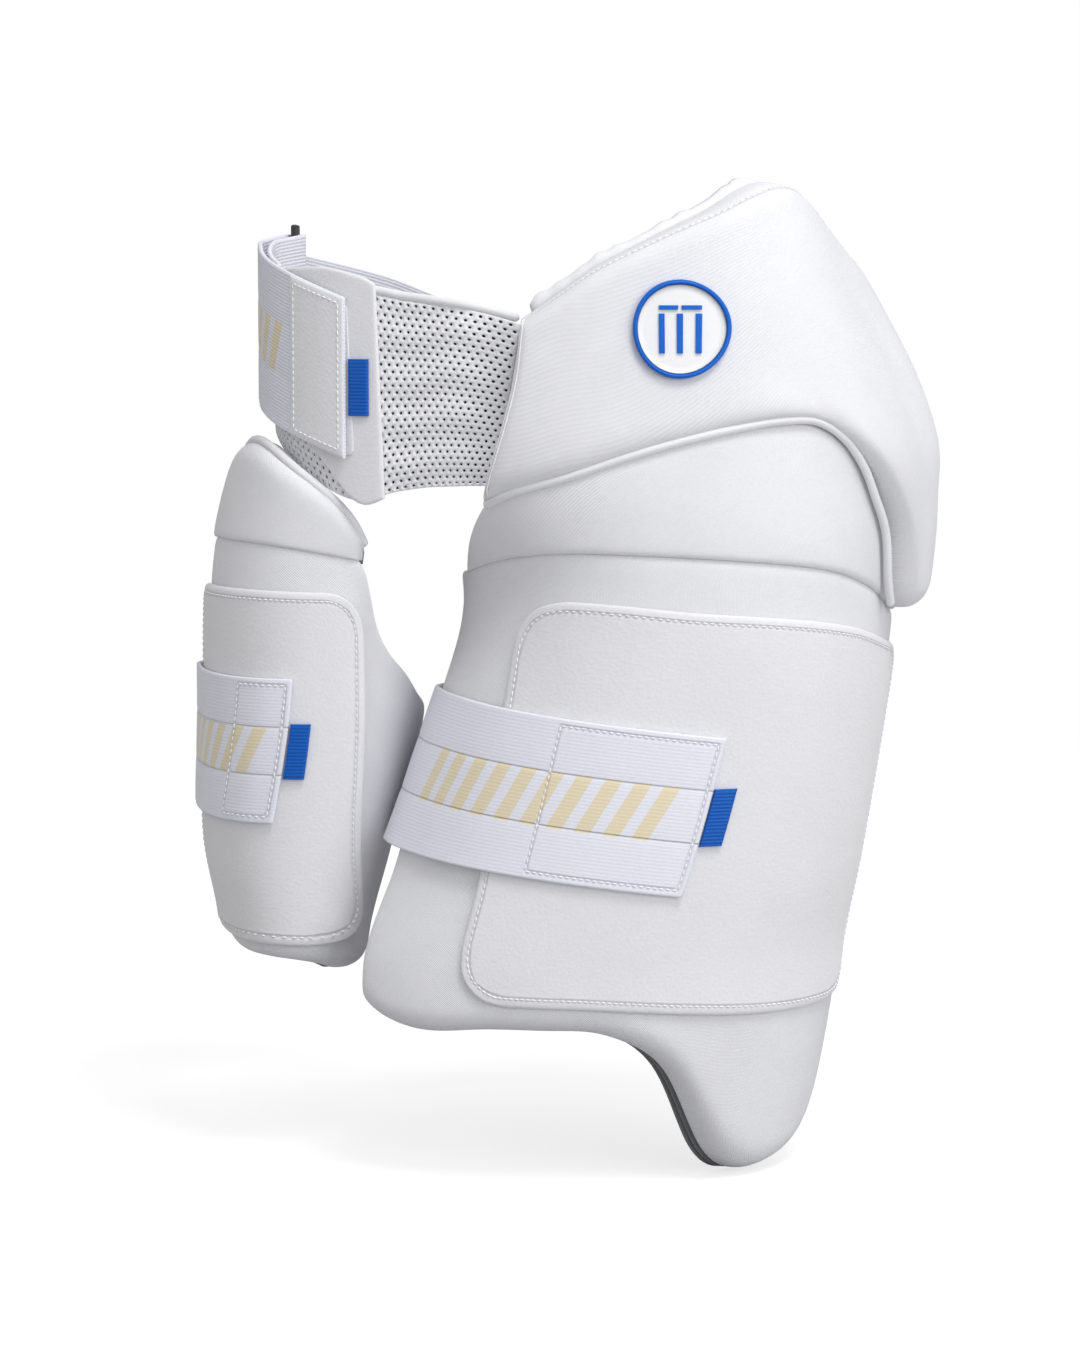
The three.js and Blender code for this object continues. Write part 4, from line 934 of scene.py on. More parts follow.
def webbing_group():
    """Lengthwise ribs of woven elastic, broken by its cross threads."""

    def build(tree, start):
        vector = start.outputs["Vector"]
        x, y = split(tree, vector)
        ribs = wave(tree, y, 0.0016)
        threads = noise_node(tree, vector, 1.0, 3, (420, 1900, 1))
        cross = wave(tree, x, 0.0013)
        ribs = math_node(tree, "MULTIPLY", ribs, start.outputs["Rib"])
        height = math_node(tree, "ADD", ribs, math_node(tree, "MULTIPLY", threads, 1.1))
        height = math_node(tree, "MULTIPLY_ADD", cross, 0.12, height)
        shade = math_node(tree, "MULTIPLY_ADD", threads, 0.7, math_node(tree, "MULTIPLY", ribs, 0.15))
        return height, shade

    return value_group("Ribbed Webbing", [("Rib", 0.6)], build)


def tinted(name, color, dark, group, amount, bump, distance, roughness, sheen=0.0, uv="Cloth"):
    """A cloth material: a weave group gives its tint, its roughness and its relief."""
    material, shader = new_material(name, color, roughness, sheen)
    tree = material.node_tree
    if uv:
        source = tree.nodes.new("ShaderNodeUVMap")
        source.uv_map = uv
        vector = source.outputs[0]
    else:
        vector = tree.nodes.new("ShaderNodeTexCoord").outputs["Object"]
    weave = tree.nodes.new("ShaderNodeGroup")
    weave.node_tree = group
    weave.inputs[1].default_value = amount
    tree.links.new(vector, weave.inputs["Vector"])
    ramp = tree.nodes.new("ShaderNodeValToRGB")
    ramp.color_ramp.elements[0].color = (*dark, 1)
    ramp.color_ramp.elements[0].position = 0.15
    ramp.color_ramp.elements[1].color = (*color, 1)
    ramp.color_ramp.elements[1].position = 0.7
    tree.links.new(weave.outputs["Shade"], ramp.inputs[0])
    tree.links.new(ramp.outputs[0], shader.inputs["Base Color"])
    rough = math_node(tree, "MULTIPLY_ADD", weave.outputs["Shade"], 0.12, roughness - 0.06)
    tree.links.new(rough, shader.inputs["Roughness"])
    relief = tree.nodes.new("ShaderNodeBump")
    relief.inputs["Strength"].default_value = bump
    relief.inputs["Distance"].default_value = distance
    tree.links.new(weave.outputs["Height"], relief.inputs["Height"])
    tree.links.new(relief.outputs[0], shader.inputs["Normal"])
    return material


def sewn(material, bands=0.0):
    """Draws the cloth in along its seam, and along the two lines that part a strap into bands, and darkens
    the colour there as painted shade.
    """
    tree = material.node_tree
    shader = tree.nodes["Principled BSDF"]
    source = tree.nodes.new("ShaderNodeAttribute")
    source.attribute_name = "Seam"
    dents = math_node(tree, "ABSOLUTE", source.outputs["Fac"])
    if bands:
        flat = tree.nodes.new("ShaderNodeUVMap")
        flat.uv_map = "Cloth"
        up = math_node(tree, "ABSOLUTE", split(tree, flat.outputs[0])[1])
        parting = math_node(tree, "ABSOLUTE", math_node(tree, "SUBTRACT", up, bands * MM))
        dents = math_node(tree, "MINIMUM", dents, math_node(tree, "MULTIPLY", parting, 1.7 / MM))
    fall = tree.nodes.new("ShaderNodeMapRange")
    fall.interpolation_type = "SMOOTHERSTEP"
    fall.inputs["From Max"].default_value = SEAM_REACH
    tree.links.new(dents, fall.inputs["Value"])
    relief = tree.nodes.new("ShaderNodeBump")
    relief.inputs["Strength"].default_value = 0.8
    relief.inputs["Distance"].default_value = 0.0006
    tree.links.new(fall.outputs[0], relief.inputs["Height"])
    weave = next(node for node in tree.nodes if node.type == "BUMP" and node != relief)
    tree.links.new(relief.outputs[0], weave.inputs["Normal"])
    # Painted shade: the colour is darkened to 0.91 in the seams' grooves.
    mix = tree.nodes.new("ShaderNodeMix")
    mix.data_type, mix.blend_type = "RGBA", "MULTIPLY"
    mix.inputs["Factor"].default_value = 1
    old = shader.inputs["Base Color"].links[0].from_socket
    tree.links.new(old, mix.inputs["A"])
    shade = math_node(tree, "MULTIPLY_ADD", fall.outputs[0], 0.09, 0.91)
    tree.links.new(shade, mix.inputs["B"])
    tree.links.new(mix.outputs["Result"], shader.inputs["Base Color"])
    return material


def printed(material, low, high, half):
    """Adds a row of slanted printed bars between two flat places, as tall as twice half, in millimetres."""
    tree = material.node_tree
    shader = tree.nodes["Principled BSDF"]
    source = tree.nodes.new("ShaderNodeUVMap")
    source.uv_map = "Cloth"
    x, y = split(tree, source.outputs[0])
    slanted = math_node(tree, "MULTIPLY_ADD", y, BAR_SLANT, x)
    cell = math_node(tree, "FRACT", math_node(tree, "MULTIPLY", slanted, 1 / (BAR_PITCH * MM)))
    bars = math_node(tree, "LESS_THAN", cell, BAR_SHARE)
    low = math.ceil(low / BAR_PITCH) * BAR_PITCH - 1
    high = math.floor(high / BAR_PITCH) * BAR_PITCH + 8
    after = math_node(tree, "GREATER_THAN", slanted, low * MM)
    before = math_node(tree, "LESS_THAN", slanted, high * MM)
    tall = math_node(tree, "LESS_THAN", math_node(tree, "ABSOLUTE", y), half * MM)
    box = math_node(tree, "MULTIPLY", math_node(tree, "MULTIPLY", after, before), tall)
    mask = math_node(tree, "MULTIPLY", bars, box)
    worn = noise_node(tree, source.outputs[0], 500, 3)
    mask = math_node(tree, "MULTIPLY", mask, math_node(tree, "MULTIPLY_ADD", worn, 0.25, 0.78))
    mix = tree.nodes.new("ShaderNodeMix")
    mix.data_type = "RGBA"
    old = shader.inputs["Base Color"].links[0].from_socket
    tree.links.new(mask, mix.inputs["Factor"])
    tree.links.new(old, mix.inputs["A"])
    mix.inputs["B"].default_value = (*bpy.context.scene.thigh_guard_look.cream, 1)
    tree.links.new(mix.outputs["Result"], shader.inputs["Base Color"])
    return material


FINISHES = table(
    "key title color dark group amount bump distance roughness sheen uv",
    ("pad", "Pad Knit", "cloth_color", 0.88, "knit", 0.5, 0.55, 0.00026, 0.75, 0.25, "Cloth"),
    ("cells", "Cell Knit", "cloth_color", 0.9, "knit", 0.25, 0.3, 0.0002, 0.75, 0.2, "Cloth"),
    ("loop", "Loop Fabric", "loop_color", 0.9, "pile", 0.7, 0.5, 0.0004, 0.9, 0.35, "Cloth"),
    ("elastic", "Woven Elastic", "elastic_color", 0.84, "webbing", 0.5, 0.6, 0.0003, 0.75, 0.2, "Cloth"),
    ("print", "Printed Elastic", "elastic_color", 0.88, "webbing", 0.4, 0.3, 0.0002, 0.75, 0.3, "Cloth"),
    ("waist print", "Waist Elastic", "elastic_color", 0.86, "webbing", 0.5, 0.6, 0.0003, 0.75, 0.2, "Cloth"),
    ("inner print", "Inner Elastic", "elastic_color", 0.88, "webbing", 0.4, 0.3, 0.0002, 0.75, 0.3, "Cloth"),
    ("mesh", "Perforated Knit", "cloth_color", 0.88, "knit", 0.3, 0.3, 0.0002, 0.7, 0.2, "Cloth"),
    ("piping", "Piping", "cloth_color", 0.9, "webbing", 0.3, 0.3, 0.0002, 0.6, 0.1, "Cloth"),
    # painted shade: the lining's dark grey stands for the shade on the pads' back layers
    ("lining", "Lining", "lining_color", 0.65, "knit", 0.5, 0.5, 0.0003, 0.85, 0.3, "Cloth"),
    # painted shade: the near-black knit behind the belt's holes stands for the shade in them
    ("spacer", "Spacer Knit", "spacer_color", 0.5, "knit", 0.4, 0.4, 0.0002, 0.9, 0.1, "Cloth"),
    ("label", "Woven Label", "blue", 0.7, "webbing", 0.8, 0.5, 0.0002, 0.5, 0.1, "Cloth"),
    ("thread", "Thread", "thread_color", 0.88, "knit", 0.2, 0.2, 0.0001, 0.7, 0.0, None),
    ("badge", "Badge Rubber", "badge_color", 0.92, "pile", 0.2, 0.06, 0.0001, 0.42, 0.0, None),
    ("blue", "Blue Rubber", "blue", 0.8, "pile", 0.2, 0.08, 0.0001, 0.38, 0.0, None),
    ("ring", "Ring Plastic", "ring_color", 0.6, "pile", 0.3, 0.12, 0.0001, 0.4, 0.0, None),
)


def make_materials(look):
    """Every finish of the guard, by name."""
    groups = {"knit": knit_group(), "pile": pile_group(), "webbing": webbing_group()}
    made = {}
    for row in FINISHES:
        color = tuple(getattr(look, row["color"]))
        dark = tuple(c * row["dark"] for c in color)
        values = (row[name] for name in ("amount", "bump", "distance", "roughness", "sheen", "uv"))
        made[row["key"]] = tinted(row["title"], color, dark, groups[row["group"]], *values)
    return made


MATERIALS = {}


def material(name):
    if not MATERIALS:
        MATERIALS.update(make_materials(bpy.context.scene.thigh_guard_look))
        for plain in ("loop", "pad"):
            sewn(MATERIALS[plain])
        sewn(MATERIALS["print"], BAND_SEAM * STRAP_WIDTH)
        sewn(MATERIALS["inner print"], BAND_SEAM * INNER_STRAP_WIDTH)
    return MATERIALS[name]


# Reliefs of the padded pieces, in millimetres


def ripple(x, y, seed, size, height):
    """Soft unevenness, the same each time."""
    a = np.sin(x / size + seed) * np.cos(y / (size * 0.8) - seed * 1.7)
    b = np.sin((x * 0.7 + y) / (size * 0.63) + seed * 2.3)
    return height * (a + 0.6 * b)


def guard_relief(x, y, angle, z):
    """A fold runs down the flap, where it turns over the hip."""
    fold_angle = 47 - 0.16 * (z + 20)
    crease = np.exp(-(((angle - fold_angle) / 3.2) ** 2)) * smooth(12, -12, z) * smooth(-75, -45, z)
    return ripple(x, y, 0.4, 34, 0.25) - 1.6 * crease


def roll_relief(x, y, angle, z):
    return ripple(x, y, 1.1, 30, 0.3)


def pad_relief(x, y, angle, z):
    return ripple(x, y, 2.2, 36, 0.3)


def inner_relief(x, y, angle, z):
    return ripple(x, y, 3.1, 26, 0.25)


def constant(value):
    return lambda angle, z: value + 0.0 * np.asarray(angle, float)


def hip_guard_panel():
    """The guard's hem comes down onto the piping, and thins out where the flap lifts."""

    def hem(angle, z):
        return 12.6 - 8 * flap_share(angle, z)

    rows = [{**c, "low": c["low"] - HEM_DROP} for c in hip_columns]
    return Panel(LEG, rows, guard_base, guard_thick, (6, 4, hem, 5), (8, 9, 10, 8), guard_relief)


def thigh_pad_panel():
    rows = [{**c, "high": c["high"] + TUCK} for c in pad_columns]
    return Panel(LEG, rows, constant(GAP), constant(PAD_THICK), (3, 3, 3, 14), (11, 12, 12, 7), pad_relief)


def patch_panel(hollow, columns, length, middle, top):
    """A loop patch on a pad's surface. Its borders are shares of its length, above and below its middle."""
    rows = [
        {**c, "low": c["low"] * length - middle, "high": c["high"] * length - middle} for c in columns
    ]
    return Panel(hollow, rows, constant(top), constant(PATCH_THICK), 0.9, (2.5, 2.5, 2.5, 2.5))


def strap_station(angle, off):
    x = float(LEG.point(angle, -STRAP_LEVEL, off)[0])
    return on_hollow(LEG, angle, -STRAP_LEVEL - STRAP_SLOPE * x, off, STRAP_WIDTH)


def thigh_strap_band():
    back = [strap_station(r["angle"], r["off"] * PAD_TOP + STRAP_THICK) for r in STRAP_ROUTE]
    climb = PATCH_TOP - PAD_TOP
    on_pad = PAD_TOP + GAP + STRAP_THICK / 2
    front = [strap_station(r["angle"], on_pad + climb * r["over"]) for r in STRAP_FRONT]
    return Band(back + front, STRAP_WIDTH, STRAP_THICK, 190)


def inner_strap_band():
    def station(angle, share, off):
        return on_hollow(INNER_LEG_HOLLOW, angle, -INNER_STRAP_LEVEL * share, off, INNER_STRAP_WIDTH)

    back = [station(r["angle"], r["level"], r["off"] * INNER_TOP + STRAP_THICK) for r in INNER_STRAP_ROUTE]
    climb, on_pad = INNER_PATCH_TOP - INNER_TOP, INNER_TOP + 2 * GAP + STRAP_THICK / 2
    front = [station(r["angle"], 1, on_pad + climb * r["over"]) for r in INNER_STRAP_FRONT]
    return Band(back + front, INNER_STRAP_WIDTH, STRAP_THICK, 150)


# The ring and the straps that pass it
ring_centre = WAIST.point(RING_ANGLE, waist_level(RING_ANGLE), RING_STANDOFF)
ring_ahead = WAIST.point(RING_ANGLE + 1, 0) - WAIST.point(RING_ANGLE - 1, 0)
ring_ahead = np.array(Matrix.Rotation(math.radians(RING_TURN), 3, "Z") @ Vector(ring_ahead).normalized())
ring_out = np.array([ring_ahead[1], -ring_ahead[0], 0])
BAR_REACH = (SLOT_WIDTH + RING_BAR) / 2
TURN_RADIUS = math.hypot(RING_BAR, RING_THICK) / 2 + 2 * GAP + STRAP_THICK / 2


def by_ring(ahead, out, width):
    place = ring_centre + ring_ahead * ahead + ring_out * out
    return lambda share: place + np.array([0, 0, share * width])


def waist_strap_band():
    lower = MESH_THICK + 3 * GAP + STRAP_THICK / 2
    upper = max(BELT_PATCH_TOP, MESH_THICK + 3 * GAP + STRAP_THICK) + 3 * GAP + STRAP_THICK / 2

    def on_waist(r, off):
        return on_hollow(WAIST, r["angle"], waist_level(r["angle"]), off + r["lift"], WAIST_STRAP_WIDTH)

    turn = []
    for degrees in (-90, -45, 0, 45, 90):
        a = math.radians(degrees)
        ahead, out = BAR_REACH - TURN_RADIUS * math.cos(a), TURN_RADIUS * math.sin(a)
        turn.append(by_ring(ahead, out, WAIST_STRAP_WIDTH))
    stations = [on_waist(r, lower) for r in INNER_LEG] + turn + [on_waist(r, upper) for r in OUTER_LEG]
    return Band(stations, WAIST_STRAP_WIDTH, STRAP_THICK, 150)


def back_elastic_band():
    behind = HIP_LINING - (STRAP_THICK + GAP) / 2
    wide = ELASTIC_WIDTH
    held = [on_hollow(LEG, r["angle"], r["level"] * wide, behind, wide) for r in ELASTIC_END]
    back = [
        on_hollow(WAIST, r["angle"], r["level"] * ELASTIC_WIDTH, r["off"] + STRAP_THICK / 2, ELASTIC_WIDTH)
        for r in ELASTIC_ROUTE
    ]
    start = by_ring(-(SLOT_WIDTH / 2 + RING_BAR + 2 * GAP + STRAP_THICK / 2), 0, ELASTIC_WIDTH)
    return Band(held + back + [start], ELASTIC_WIDTH, STRAP_THICK, 150)


def declare_sheet(cut):
    """Takes a panel or a band and does nothing with it."""
    if isinstance(cut, Band):
        return


class LookSettings(bpy.types.PropertyGroup):
    """Colours of the guard."""

    cloth_color: bpy.props.FloatVectorProperty(
        name="Cloth", description="Colour of the padded cloth",
        subtype="COLOR", size=3, default=(0.85, 0.852, 0.888),
    )
    loop_color: bpy.props.FloatVectorProperty(
        name="Loop Fabric", description="Colour of the fastening patches",
        subtype="COLOR", size=3, default=(0.8, 0.8, 0.83),
    )
    elastic_color: bpy.props.FloatVectorProperty(
        name="Elastic", description="Colour of the straps",
        subtype="COLOR", size=3, default=(0.85, 0.86, 0.95),
    )
    thread_color: bpy.props.FloatVectorProperty(
        name="Thread", description="Colour of the stitches",
        subtype="COLOR", size=3, default=(0.92, 0.92, 0.95),
    )
    # Painted shade: the dark grey of the pads' back layers stands for the shade they lie in.
    lining_color: bpy.props.FloatVectorProperty(
        name="Lining", description="Colour of the pads' back layers",
        subtype="COLOR", size=3, default=(0.2, 0.2, 0.215),
    )
    # Painted shade: this near-black colour behind the belt's holes stands for the shade seen through them.
    spacer_color: bpy.props.FloatVectorProperty(
        name="Painted Hole Shade", description="Colour of the knit behind the belt's holes",
        subtype="COLOR", size=3, default=(0.06, 0.06, 0.065),
    )
    badge_color: bpy.props.FloatVectorProperty(
        name="Badge", description="Colour of the badge's face",
        subtype="COLOR", size=3, default=(0.83, 0.83, 0.85),
    )
    ring_color: bpy.props.FloatVectorProperty(
        name="Ring", description="Colour of the waist ring",
        subtype="COLOR", size=3, default=(0.05, 0.05, 0.052),
    )
    blue: bpy.props.FloatVectorProperty(
        name="Blue", description="Colour of the tabs and of the badge's sign",
        subtype="COLOR", size=3, default=(0.0, 0.12, 0.58),
    )
    cream: bpy.props.FloatVectorProperty(
        name="Print", description="Colour of the bars on the straps",
        subtype="COLOR", size=3, default=(0.78, 0.68, 0.46),
    )


class DetailSettings(bpy.types.PropertyGroup):
    """Sizes of the details, in metres."""

    stitch_pitch: bpy.props.FloatProperty(
        name="Stitch", description="Length of one stitch with its gap",
        unit="LENGTH", default=0.003, min=0.001,
    )
    hole_pitch: bpy.props.FloatProperty(
        name="Hole Pitch", description="Distance between the belt's holes",
        unit="LENGTH", default=0.0039, min=0.002,
    )
    hole_size: bpy.props.FloatProperty(
        name="Hole Size", description="Diameter of one hole in the belt",
        unit="LENGTH", default=0.0016, min=0.0005,
    )
    grid_size: bpy.props.FloatProperty(
        name="Grid", description="Spacing of the cloth's mesh before it is smoothed",
        unit="LENGTH", default=0.006, min=0.002,
    )


class ThighGuardOperator:
    """Shared parts of the operators."""

    bl_options = {"REGISTER", "UNDO"}

    def execute(self, context):
        self.make(context.scene.thigh_guard_details)
        return {"FINISHED"}


class THIGHGUARD_OT_camera(ThighGuardOperator, bpy.types.Operator):
    """Place the camera in front of the guard, a little above it"""

    bl_idname = "thighguard.camera"
    bl_label = "Camera"

    def make(self, details):
        aim = Vector((-26.6, 0, -137.75)) * MM
        away, rise = 1900 * MM, math.radians(5.5)
        data = bpy.data.cameras.new("Camera")
        data.sensor_fit = "HORIZONTAL"
        data.sensor_width = 36
        data.lens = 36 * 1900 / (0.475 * 1080)
        data.clip_start, data.clip_end = 0.05, 60
        camera = bpy.data.objects.new("Camera", data)
        bpy.context.scene.collection.objects.link(camera)
        camera.location = aim + Vector((0, -math.cos(rise), math.sin(rise))) * away
        camera.rotation_euler = (math.pi / 2 - rise, 0, 0)
        bpy.context.scene.camera = camera


class THIGHGUARD_OT_hip(ThighGuardOperator, bpy.types.Operator):
    """Sew the hip guard, the foam cells behind it and its piping"""

    bl_idname = "thighguard.hip"
    bl_label = "Hip Guard"

    def make(self, details):
        grid = details.grid_size / MM
        guard = hip_guard_panel()
        grids = guard.build(grid)
        side, top = 3.2, guard.height - 3.2
        second = side + 1.4
        near = np.minimum(
            np.abs(grids[2][..., 0] - (side + second) / 2), np.abs(grids[2][..., 1] - top)
        )
        piece = cloth("hip_guard_cover", *grids, material("pad"), "pad_fabric", "hip_guard", seam=near)
        self.cells(grid)
        self.piping()
        lines = [((side, 3), (side, guard.height - 3)), ((second, 3), (second, guard.height - 3))]
        lines.append(((4, top), (guard.width * 0.6, top)))
        pitch = details.stitch_pitch / MM
        seams = [row_on(guard, even(np.linspace(a, b, 60), pitch), 0.05) for a, b in lines]
        stitches("hip_guard_stitches", seams, material("thread"), "piping")

    def cells(self, grid):
        """The foam layer that stands above the guard's seam in soft bumps."""
        upper = [{"angle": c["angle"] + c["lean"], "high": c["high"]} for c in hip_columns]
        start, cells, fine = -23, 12, 14
        last = max(u["angle"] for u in upper if u["angle"] < 68)
        steps = np.arange(cells * fine + 1)
        angles = np.linspace(start, last, len(steps))
        fade = 1 - 0.7 * steps / steps[-1]
        lumps = 0.55 + 0.45 * np.sin(steps / fine * 1.9 + 0.6)
        bumps = 2.4 * lumps * fade * np.abs(np.sin(steps / fine * math.pi)) ** 0.8
        tops = along(upper, "angle", "high", angles) + 4 * fade + bumps
        rows = [{"angle": a, "lean": 0, "low": 0, "high": float(h)} for a, h in zip(angles, tops)]

        def relief(x, y, angle, z):
            cell = (angle - start) / (last - start) * cells
            up = (y - 2 * np.floor(cell)) / 13
            between_cells = 1 - np.abs(np.sin(cell * math.pi)) ** 0.5
            between_rows = 1 - np.abs(np.sin(up * math.pi)) ** 0.4
            return -(1.1 * between_cells + 0.5 * between_rows) * (1 - 0.6 * cell / cells)

        lining = Panel(LEG, rows, constant(GAP), constant(HIP_LINING - 3 * GAP), 1.6, (4, 4, 3, 4), relief)
        grids = lining.build(2.6)
        piece = cloth("hip_cells", *grids, material("cells"), "cell_fabric", "hip_lining", levels=0)

    def piping(self):
        raised = ROLL_THICK + PIPING_RADIUS + 4 * GAP
        route = []
        for c in HIP_COLUMNS[:14]:
            angle = max(c["angle"], HIP_COLUMNS[0]["angle"] + 1)
            z = float(arch(angle)) - SEAM_LIFT
            turn = smooth(HIP_COLUMNS[8]["angle"], HIP_COLUMNS[11]["angle"], angle)
            share = flap_share(angle, z)
            route.append(LEG.point(angle - 2.2 * turn, z, (ROLL_THICK + GAP) * (1 - share) + raised * share))
        tube("hip_piping_cord", spline(route, 180), PIPING_RADIUS, material("piping"), "piping", "hip_piping")


class THIGHGUARD_OT_badge(ThighGuardOperator, bpy.types.Operator):
    """Mould the round rubber badge and lay it on the hip guard"""

    bl_idname = "thighguard.badge"
    bl_label = "Badge"

    def make(self, details):
        self.disc()
        self.rim()
        self.sign()

    def lay(self, obj, lift):
        """Bends a flat piece, drawn in millimetres, onto the guard's surface."""
        surface = guard_base(BADGE_ANGLE, BADGE_LEVEL) + GUARD_THICK + GAP
        stride = LEG.stride(BADGE_ANGLE, BADGE_LEVEL, surface)
        home = LEG.point(BADGE_ANGLE, BADGE_LEVEL, surface)
        flat = np.array([v.co[:] for v in obj.data.vertices])
        drift = LEG.point(BADGE_ANGLE, BADGE_LEVEL + flat[:, 1], surface)[:, 0] - home[0]
        angle = BADGE_ANGLE + (flat[:, 0] - drift) / stride
        points = LEG.point(angle, BADGE_LEVEL + flat[:, 1], surface + lift + flat[:, 2])
        obj.data.vertices.foreach_set("co", (points * MM).ravel())
        obj.data.update()

    def disc(self):
        deselect()
        radius = BADGE_DIAMETER / 2 - BADGE_RIM
        bpy.ops.mesh.primitive_cylinder_add(vertices=96, radius=radius, depth=BADGE_THICK)
        disc = bpy.context.object
        disc.name = "badge_face"
        bpy.ops.object.mode_set(mode="EDIT")
        for _ in range(6):
            bpy.ops.mesh.select_all(action="DESELECT")
            bpy.ops.object.mode_set(mode="OBJECT")
            for face in disc.data.polygons:
                face.select = len(face.vertices) > 8
            bpy.ops.object.mode_set(mode="EDIT")
            bpy.ops.mesh.select_mode(type="FACE")
            bpy.ops.mesh.inset(thickness=radius / 7, use_individual=True)
        bpy.ops.object.mode_set(mode="OBJECT")
        self.lay(disc, BADGE_THICK / 2)
        finish_piece(disc, material("badge"), "badge_white", "badge_disc")

    def rim(self):
        deselect()
        middle = BADGE_DIAMETER / 2 - BADGE_RIM / 2
        bpy.ops.mesh.primitive_torus_add(
            major_radius=middle, minor_radius=BADGE_RIM / 2, major_segments=128, minor_segments=16
        )
        rim = bpy.context.object
        rim.name = "badge_rim_ring"
        bpy.ops.object.mode_set(mode="EDIT")
        bpy.ops.mesh.select_all(action="SELECT")
        bpy.ops.transform.resize(value=(1, 1, 1.5), center_override=(0, 0, 0))
        bpy.ops.object.mode_set(mode="OBJECT")
        self.lay(rim, 1.5)
        finish_piece(rim, material("blue"), "badge_blue", "badge_rim")

    def sign(self):
        """Three stumps under their bails."""
        stumps = [(x, -1.9, 2.6, 17.6) for x in (-8.2, 0, 8.2)]
        boxes = stumps + [(x, 9.6, 8.6, 1.9) for x in (-5.1, 5.1)]
        parts = []
        for x, y, width, height in boxes:
            deselect()
            bpy.ops.mesh.primitive_cube_add(size=1)
            bar = bpy.context.object
            bpy.ops.object.mode_set(mode="EDIT")
            bpy.ops.mesh.select_all(action="SELECT")
            bpy.ops.mesh.subdivide(number_cuts=7)
            bpy.ops.transform.resize(value=(width, height, 1.3), center_override=(0, 0, 0))
            bpy.ops.transform.translate(value=(x, y, 0))
            bpy.ops.object.mode_set(mode="OBJECT")
            bevel = bar.modifiers.new("Round", "BEVEL")
            bevel.width, bevel.segments, bevel.limit_method = 0.5, 3, "ANGLE"
            apply_modifiers(bar)
            parts.append(bar)
        deselect()
        for bar in parts:
            bar.select_set(True)
        bpy.context.view_layer.objects.active = parts[0]
        bpy.ops.object.join()
        sign = bpy.context.object
        sign.name = "badge_sign"
        self.lay(sign, BADGE_THICK + 0.45)
        finish_piece(sign, material("blue"), "badge_blue", "badge_emblem")


def padding(name, panel, grid, node):
    """A padded cover in place of its solid."""
    cloth(name, *panel.build(grid), material("pad"), "pad_fabric", node)


def sew_patch(part, patch, corner, pitch):
    """Lays a loop patch on a pad and sews it down along its border."""
    grids = patch.build(4, corner)
    seam = patch.seam(grids[2], PATCH_SEAM, corner)
    piece = cloth(f"{part}_loop_patch", *grids, material("loop"), "loop_fabric", f"{part}_patch", seam=seam)
    declare_sheet(patch)
    line = patch.border(PATCH_SEAM, corner, pitch)
    stitches(f"{part}_patch_stitches", [row_on(patch, line)], material("thread"), "piping")


class THIGHGUARD_OT_thigh(ThighGuardOperator, bpy.types.Operator):
    """Sew the thigh roll, the thigh pad, its lining and its patch"""

    bl_idname = "thighguard.thigh"
    bl_label = "Thigh Pad"

    def make(self, details):
        grid = details.grid_size / MM
        edges, runs = (3, 3, 17.4, 16.5), (12, 12, 4, 9)
        roll = Panel(LEG, roll_columns, constant(GAP), constant(ROLL_THICK - GAP), edges, runs, roll_relief)
        padding("thigh_roll_cover", roll, grid, "thigh_roll")
        padding("thigh_pad_cover", thigh_pad_panel(), grid, "thigh_pad")
        self.lining(grid)
        patch = patch_panel(LEG, PATCH_COLUMNS, PATCH_LENGTH, PATCH_LEVEL, PAD_TOP)
        sew_patch("thigh", patch, PATCH_CORNER, details.stitch_pitch / MM)

    def lining(self, grid):
        """Two layers of backing cloth, which show beside the tongue; their dark grey is painted shade."""
        for name, base, spread, nodes in (
            ("thigh_lining", -1.7, 1.0, ["thigh_pad_lining"]),
            ("thigh_lining_back", -PAD_LINING, 2.0, []),
        ):
            rows = []
            for c in pad_columns:
                beside_tongue = float(smooth(8, 30, c["angle"]) * smooth(74, 60, c["angle"]))
                rows.append({**c, "angle": c["angle"] - spread * beside_tongue})
            layer = Panel(LEG, rows, constant(base), constant(1.3), 0.8, (1, 1, 1, 1))
            piece = cloth(name, *layer.build(grid), material("lining"), "lining", *nodes)
            declare_sheet(layer)


